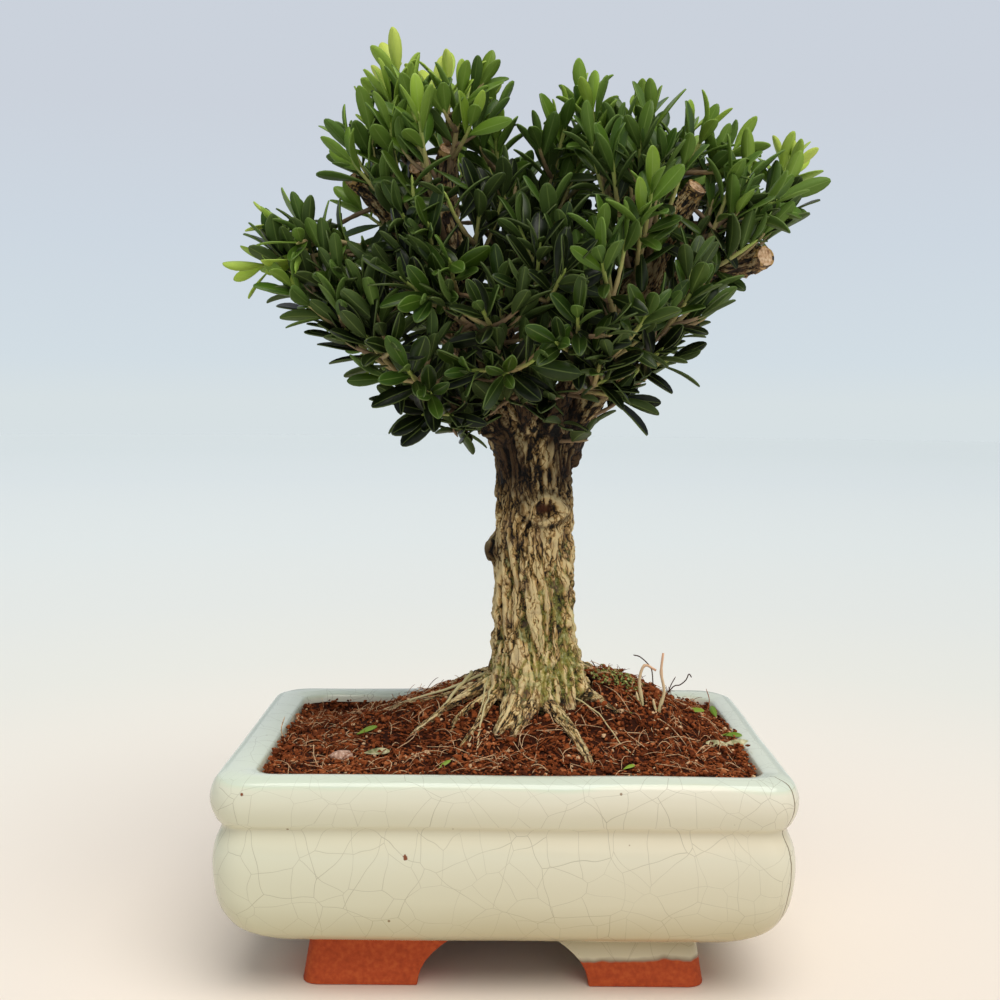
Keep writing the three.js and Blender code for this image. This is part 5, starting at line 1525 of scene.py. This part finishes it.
def soil_top(tree, x, y):
    """The soil's surface under a spot, and its slope, or None where the trunk or the rim is."""
    hit, normal, _, _ = tree.ray_cast(here(x, y, 140), Vector((0, 0, -1)))
    if hit is None or normal.z < 0.2 or (hit.z / MM) < SOIL_LEVEL - 8:
        return None
    return hit, normal


def inside_mouth(x, y, inset):
    """Whether a spot lies inside the pot's mouth, and that far from its wall."""
    half_x, half_y, corner = MOUTH[0] - inset, MOUTH[1] - inset, MOUTH[2]
    dx = max(abs(x - OPENING_SHIFT) - (half_x - corner), 0)
    dy = max(abs(y) - (half_y - corner), 0)
    return math.hypot(dx, dy) < corner


def crumb_form(seed, subdivisions, squash):
    """One crumb of unit size: a lumpy, slightly flattened ball."""
    bm = bmesh.new()
    bmesh.ops.create_icosphere(bm, subdivisions=subdivisions, radius=1.0)
    for vert in bm.verts:
        vert.co *= 0.75 + 0.5 * noise.noise(vert.co * 1.3 + Vector((seed * 7.3, 0, 0)))
        vert.co.z *= squash
    return baked("crumb_form", bm)


def anywhere():
    """A spot on the bed, or a little past its wall."""
    return random.uniform(-69, 72), random.uniform(-49, 49)


def by_the_wall():
    """A spot close to the wall of the pot's mouth."""
    x, y = anywhere()
    across = (WALL_HALF[0] - random.uniform(0.2, 2.2)) / abs(x - OPENING_SHIFT)
    share = min(across, (WALL_HALF[1] - random.uniform(0.2, 2.2)) / abs(y))
    return OPENING_SHIFT + (x - OPENING_SHIFT) * share, y * share


def by_the_trunk():
    """A spot in the mossy patch right of the trunk."""
    return random.gauss(35, 4), random.gauss(4, 4)


# Crumbs: name, how many, sizes, how high they may lie in shares of their size, and where.
CRUMBS = [
    ("soil_crumbs", 8500, (0.45, 1.0), 0.6, anywhere),
    ("soil_grit", 4000, (0.35, 0.6), 0.6, anywhere),
    ("soil_lumps", 1300, (0.8, 1.6), 0.5, anywhere),
    ("soil_edge", 1100, (0.4, 1.0), 2.6, by_the_wall),
    ("moss_tufts", 220, (0.4, 0.9), 1.2, by_the_trunk),
]
# Fibres: name, how many, lengths, half thicknesses, tones, how high they arch, and what share stands up.
FIBRES = [
    ("soil_fibres", 700, (4, 14), (0.08, 0.15), (0.55, 1.0), 1.6, 0.0),
    ("soil_bristles", 800, (2, 6), (0.05, 0.11), (0.3, 0.95), 3.6, 0.8),
]


def scattered_crumbs(name, tree, material, forms, count, sizes, lift, where):
    """Crumbs of soil strewn over the bed, each turned at random and half sunk."""
    gathered = bmesh.new()
    tone = gathered.verts.layers.float_vector.new("tone")
    made = 0
    while made < count:
        x, y = where()
        if not inside_mouth(x, y, 0.4):
            continue
        made += 1
        spot = soil_top(tree, x, y)
        if spot is None:
            continue
        hit, normal = spot
        clump = max(0, noise.noise(Vector((x / 5, y / 5, 3.0)))) * CLUMP_HEIGHT * MM
        hit = hit + Vector((0, 0, random.random() * clump))
        size = random.uniform(*sizes) * MM
        stretch = Vector((random.uniform(0.8, 1.5), random.uniform(0.6, 1.0),
                          random.uniform(0.6, 1.0))) * size
        tilt = Vector((random.gauss(0, 0.5), random.gauss(0, 0.5), 1))
        turn = Matrix.Rotation(random.uniform(0, FULL_TURN), 3, "Z").to_quaternion()
        turn = Vector((0, 0, 1)).rotation_difference(normal + tilt) @ turn
        form = random.choice(forms)
        place = Matrix.LocRotScale(hit + normal * size * random.uniform(-0.2, lift), turn, stretch)
        corners = copied_in(gathered, form, place)
        drift = 0.3 * noise.noise(Vector((x / 13, y / 13, 0)))
        shade = min(1, max(0, random.gauss(0.5, 0.15) + drift))
        for vert in corners:
            vert[tone] = (shade, 0, 0)
    settled(name, gathered, [material], "earth", smooth=False)


def strewn_fibres(name, tree, material, count, lengths, radius, tones, arch, standing):
    """Fibres that lie on the bed in slack curves. A share of them stands up at one end."""
    gathered = bmesh.new()
    tone = gathered.verts.layers.float_vector.new("tone")
    gathered.verts.layers.float.new("along")
    made = 0
    while made < count:
        x = random.uniform(-66, 69)
        y = random.uniform(-46, 46)
        if not inside_mouth(x, y, 3):
            continue
        made += 1
        length = random.uniform(*lengths)
        heading = random.uniform(0, FULL_TURN)
        bend = random.uniform(-1.6, 1.6)
        rise = random.uniform(0.0, arch)
        reach = 0.5 if random.random() < standing else 1.0
        points = []
        for k in range(6):
            spot = soil_top(tree, x, y)
            if spot is None or not inside_mouth(x, y, 1.5):
                break
            points.append(spot[0] + Vector((0, 0, (0.4 + rise * math.sin(math.pi * reach * k / 5)) * MM)))
            x += math.cos(heading) * length / 5
            y += math.sin(heading) * length / 5
            heading += bend / 5 + random.uniform(-0.25, 0.25)
        if len(points) < 3:
            continue
        thick = random.uniform(*radius) * MM
        shade = random.uniform(*tones)
        for vert in mixed_in(gathered, tube(points, [thick] * (len(points) - 1) + [thick * 0.5], 4)):
            vert[tone] = (shade, 0, 0)
    settled(name, gathered, [material], "earth")


def stalk_piece(node, route, material):
    """A dry stem with its joints, and the stub of a leaf at its foot."""
    points = [here(*p) for p in smooth_rows([row[:3] for row in route], 4)]
    radii = [row[0] * MM * STALK_DRIED for row in smooth_rows([(row[3],) for row in route], 4)]
    radii = [radius * (1.2 if k % 6 == 0 else 0.95) for k, radius in enumerate(radii)]
    gathered = tube(points, radii, 10)
    foot_x, foot_y, foot_z = route[1][:3]
    stub = [(foot_x, foot_y, foot_z - 2), (foot_x - 1.2, foot_y - 0.3, foot_z + 1),
            (foot_x - 1.9, foot_y - 0.4, foot_z + 4)]
    mixed_in(gathered, tube([here(*p) for p in smooth_rows(stub, 3)], [0.4 * MM] * 6 + [0.12 * MM], 8,
                            (0.1, 0.5)))
    piece = settled(f"{node}_stem", gathered, [material], "dry_stem")
    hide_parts(node)


def rootlets(material):
    """Thin bare roots that run down from the trunk and out over the bed."""
    gathered = bmesh.new()
    gathered.verts.layers.float.new("along")
    for route, lift, radius in ROOTLETS:
        spots = smooth_rows(route, 6)
        points = []
        for k, (x, y) in enumerate(spots):
            share = k / (len(spots) - 1)
            x += random.uniform(-0.4, 0.4)
            points.append(here(x, y, soil_swell(x, y) + 0.5 + lift * (1 - share) ** 2))
        radii = [radius * (1 - 0.55 * k / len(points)) * MM for k in range(len(points))]
        mixed_in(gathered, tube(points, radii, 7, (0.22, 0.4)))
    settled("bare_rootlets", gathered, [material], "bark")


def hairs(material):
    """Wiry dead hairs that stand up out of the bed."""
    gathered = bmesh.new()
    tone = gathered.verts.layers.float_vector.new("tone")
    gathered.verts.layers.float.new("along")
    for route, radius, shade in HAIRS:
        points = [here(*p) for p in smooth_rows(route, 4)]
        radii = [radius * MM] * (len(points) - 1) + [0.4 * radius * MM]
        for vert in mixed_in(gathered, tube(points, radii, 6)):
            vert[tone] = (shade, 0, 0)
    settled("soil_hairs", gathered, [material], "earth")


def fallen_leaves(fresh, dead):
    """Leaves and torn bits of leaf that lie on the bed."""
    forms = [leaf_form(*shape) for shape in LEAF_SHAPES[:4]]
    for name, material, wanted in (("fallen_green", fresh, False), ("fallen_dead", dead, True)):
        gathered = bmesh.new()
        tone = gathered.verts.layers.float_vector.new("tone")
        underside = gathered.verts.layers.float.new("underside")
        gathered.loops.layers.uv.new("blade")
        for x, y, z, heading, length, rise, is_dead in FALLEN:
            if is_dead != wanted:
                continue
            turn = math.radians(heading)
            along = unit(np.array((math.cos(turn), math.sin(turn), rise)))
            face = unit(np.array((0.0, -0.8 if is_dead else -0.4, 1.0)))
            face = unit(face - along * (along @ face))
            leaf = {"at": np.array((x, y, z)), "along": along, "face": face, "length": length}
            placed_leaf(gathered, tone, underside, random.choice(forms), leaf, 0.62, random.random())
        settled(name, gathered, [material], "leaf")


def rim_crumbs(material, forms):
    """The few crumbs that lie on the rim."""
    gathered = bmesh.new()
    tone = gathered.verts.layers.float_vector.new("tone")
    for x, y in RIM_CRUMBS:
        size = random.uniform(0.6, 1.2) * MM
        place = Matrix.LocRotScale(here(x, y, RIM_TOP), None, Vector((1.3, 0.8, 0.7)) * size)
        for vert in copied_in(gathered, random.choice(forms), place):
            vert[tone] = (0.4, 0, 0)
    settled("rim_crumbs", gathered, [material], "earth", smooth=False)


def pebble_piece(material):
    """A worn pebble: a ball that is squashed and made a little uneven."""
    bm = bmesh.new()
    bmesh.ops.create_icosphere(bm, subdivisions=4, radius=1.0)
    for vert in bm.verts:
        vert.co *= 1 + 0.08 * noise.noise(vert.co * 1.6)
    size = Matrix.Diagonal((*[half * MM for half in PEBBLE_HALF], 1))
    place = Matrix.Translation(here(*PEBBLE_PLACE)) @ Matrix.Rotation(0.3, 4, "Z")
    bmesh.ops.transform(bm, matrix=place @ size, verts=bm.verts)
    piece = settled("pebble_stone", bm, [material], "pebble")
    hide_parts("pebble")


def main():
    set_the_stage()
    random.seed(SEED)
    glaze, bark, earth = celadon_glaze(), corky_bark(), coir()
    pot_piece(glaze)
    wood_piece(bark)
    sawn_ends(bark, plain("cut_wood"))
    leaf_material = leaf_skin()
    shoots_and_leaves(grown_sprays(), shoot_skin(), leaf_material)

    screen = plain("moulded_polypropylene")
    for node, material in (("soil", earth), ("drain_screen_left", screen), ("drain_screen_right", screen)):
        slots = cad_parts[node].data.materials
        slots.clear()
        slots.append(material)
    tree = soil_tree()
    forms = [crumb_form(k, 1, 0.8) for k in range(6)]
    for name, *facts in CRUMBS:
        material = plain("cushion_moss") if name == "moss_tufts" else earth
        scattered_crumbs(name, tree, material, forms, *facts)
    for name, *facts in FIBRES:
        strewn_fibres(name, tree, earth, *facts)
    stalk_material = dead_stalk()
    for node, route in STALKS.items():
        stalk_piece(node, route, stalk_material)
    rootlets(stalk_material)
    hairs(earth)
    fallen_leaves(leaf_material, plain("dead_leaf"))
    rim_crumbs(earth, forms)
    pebble_piece(plain("river_stone"))


main()
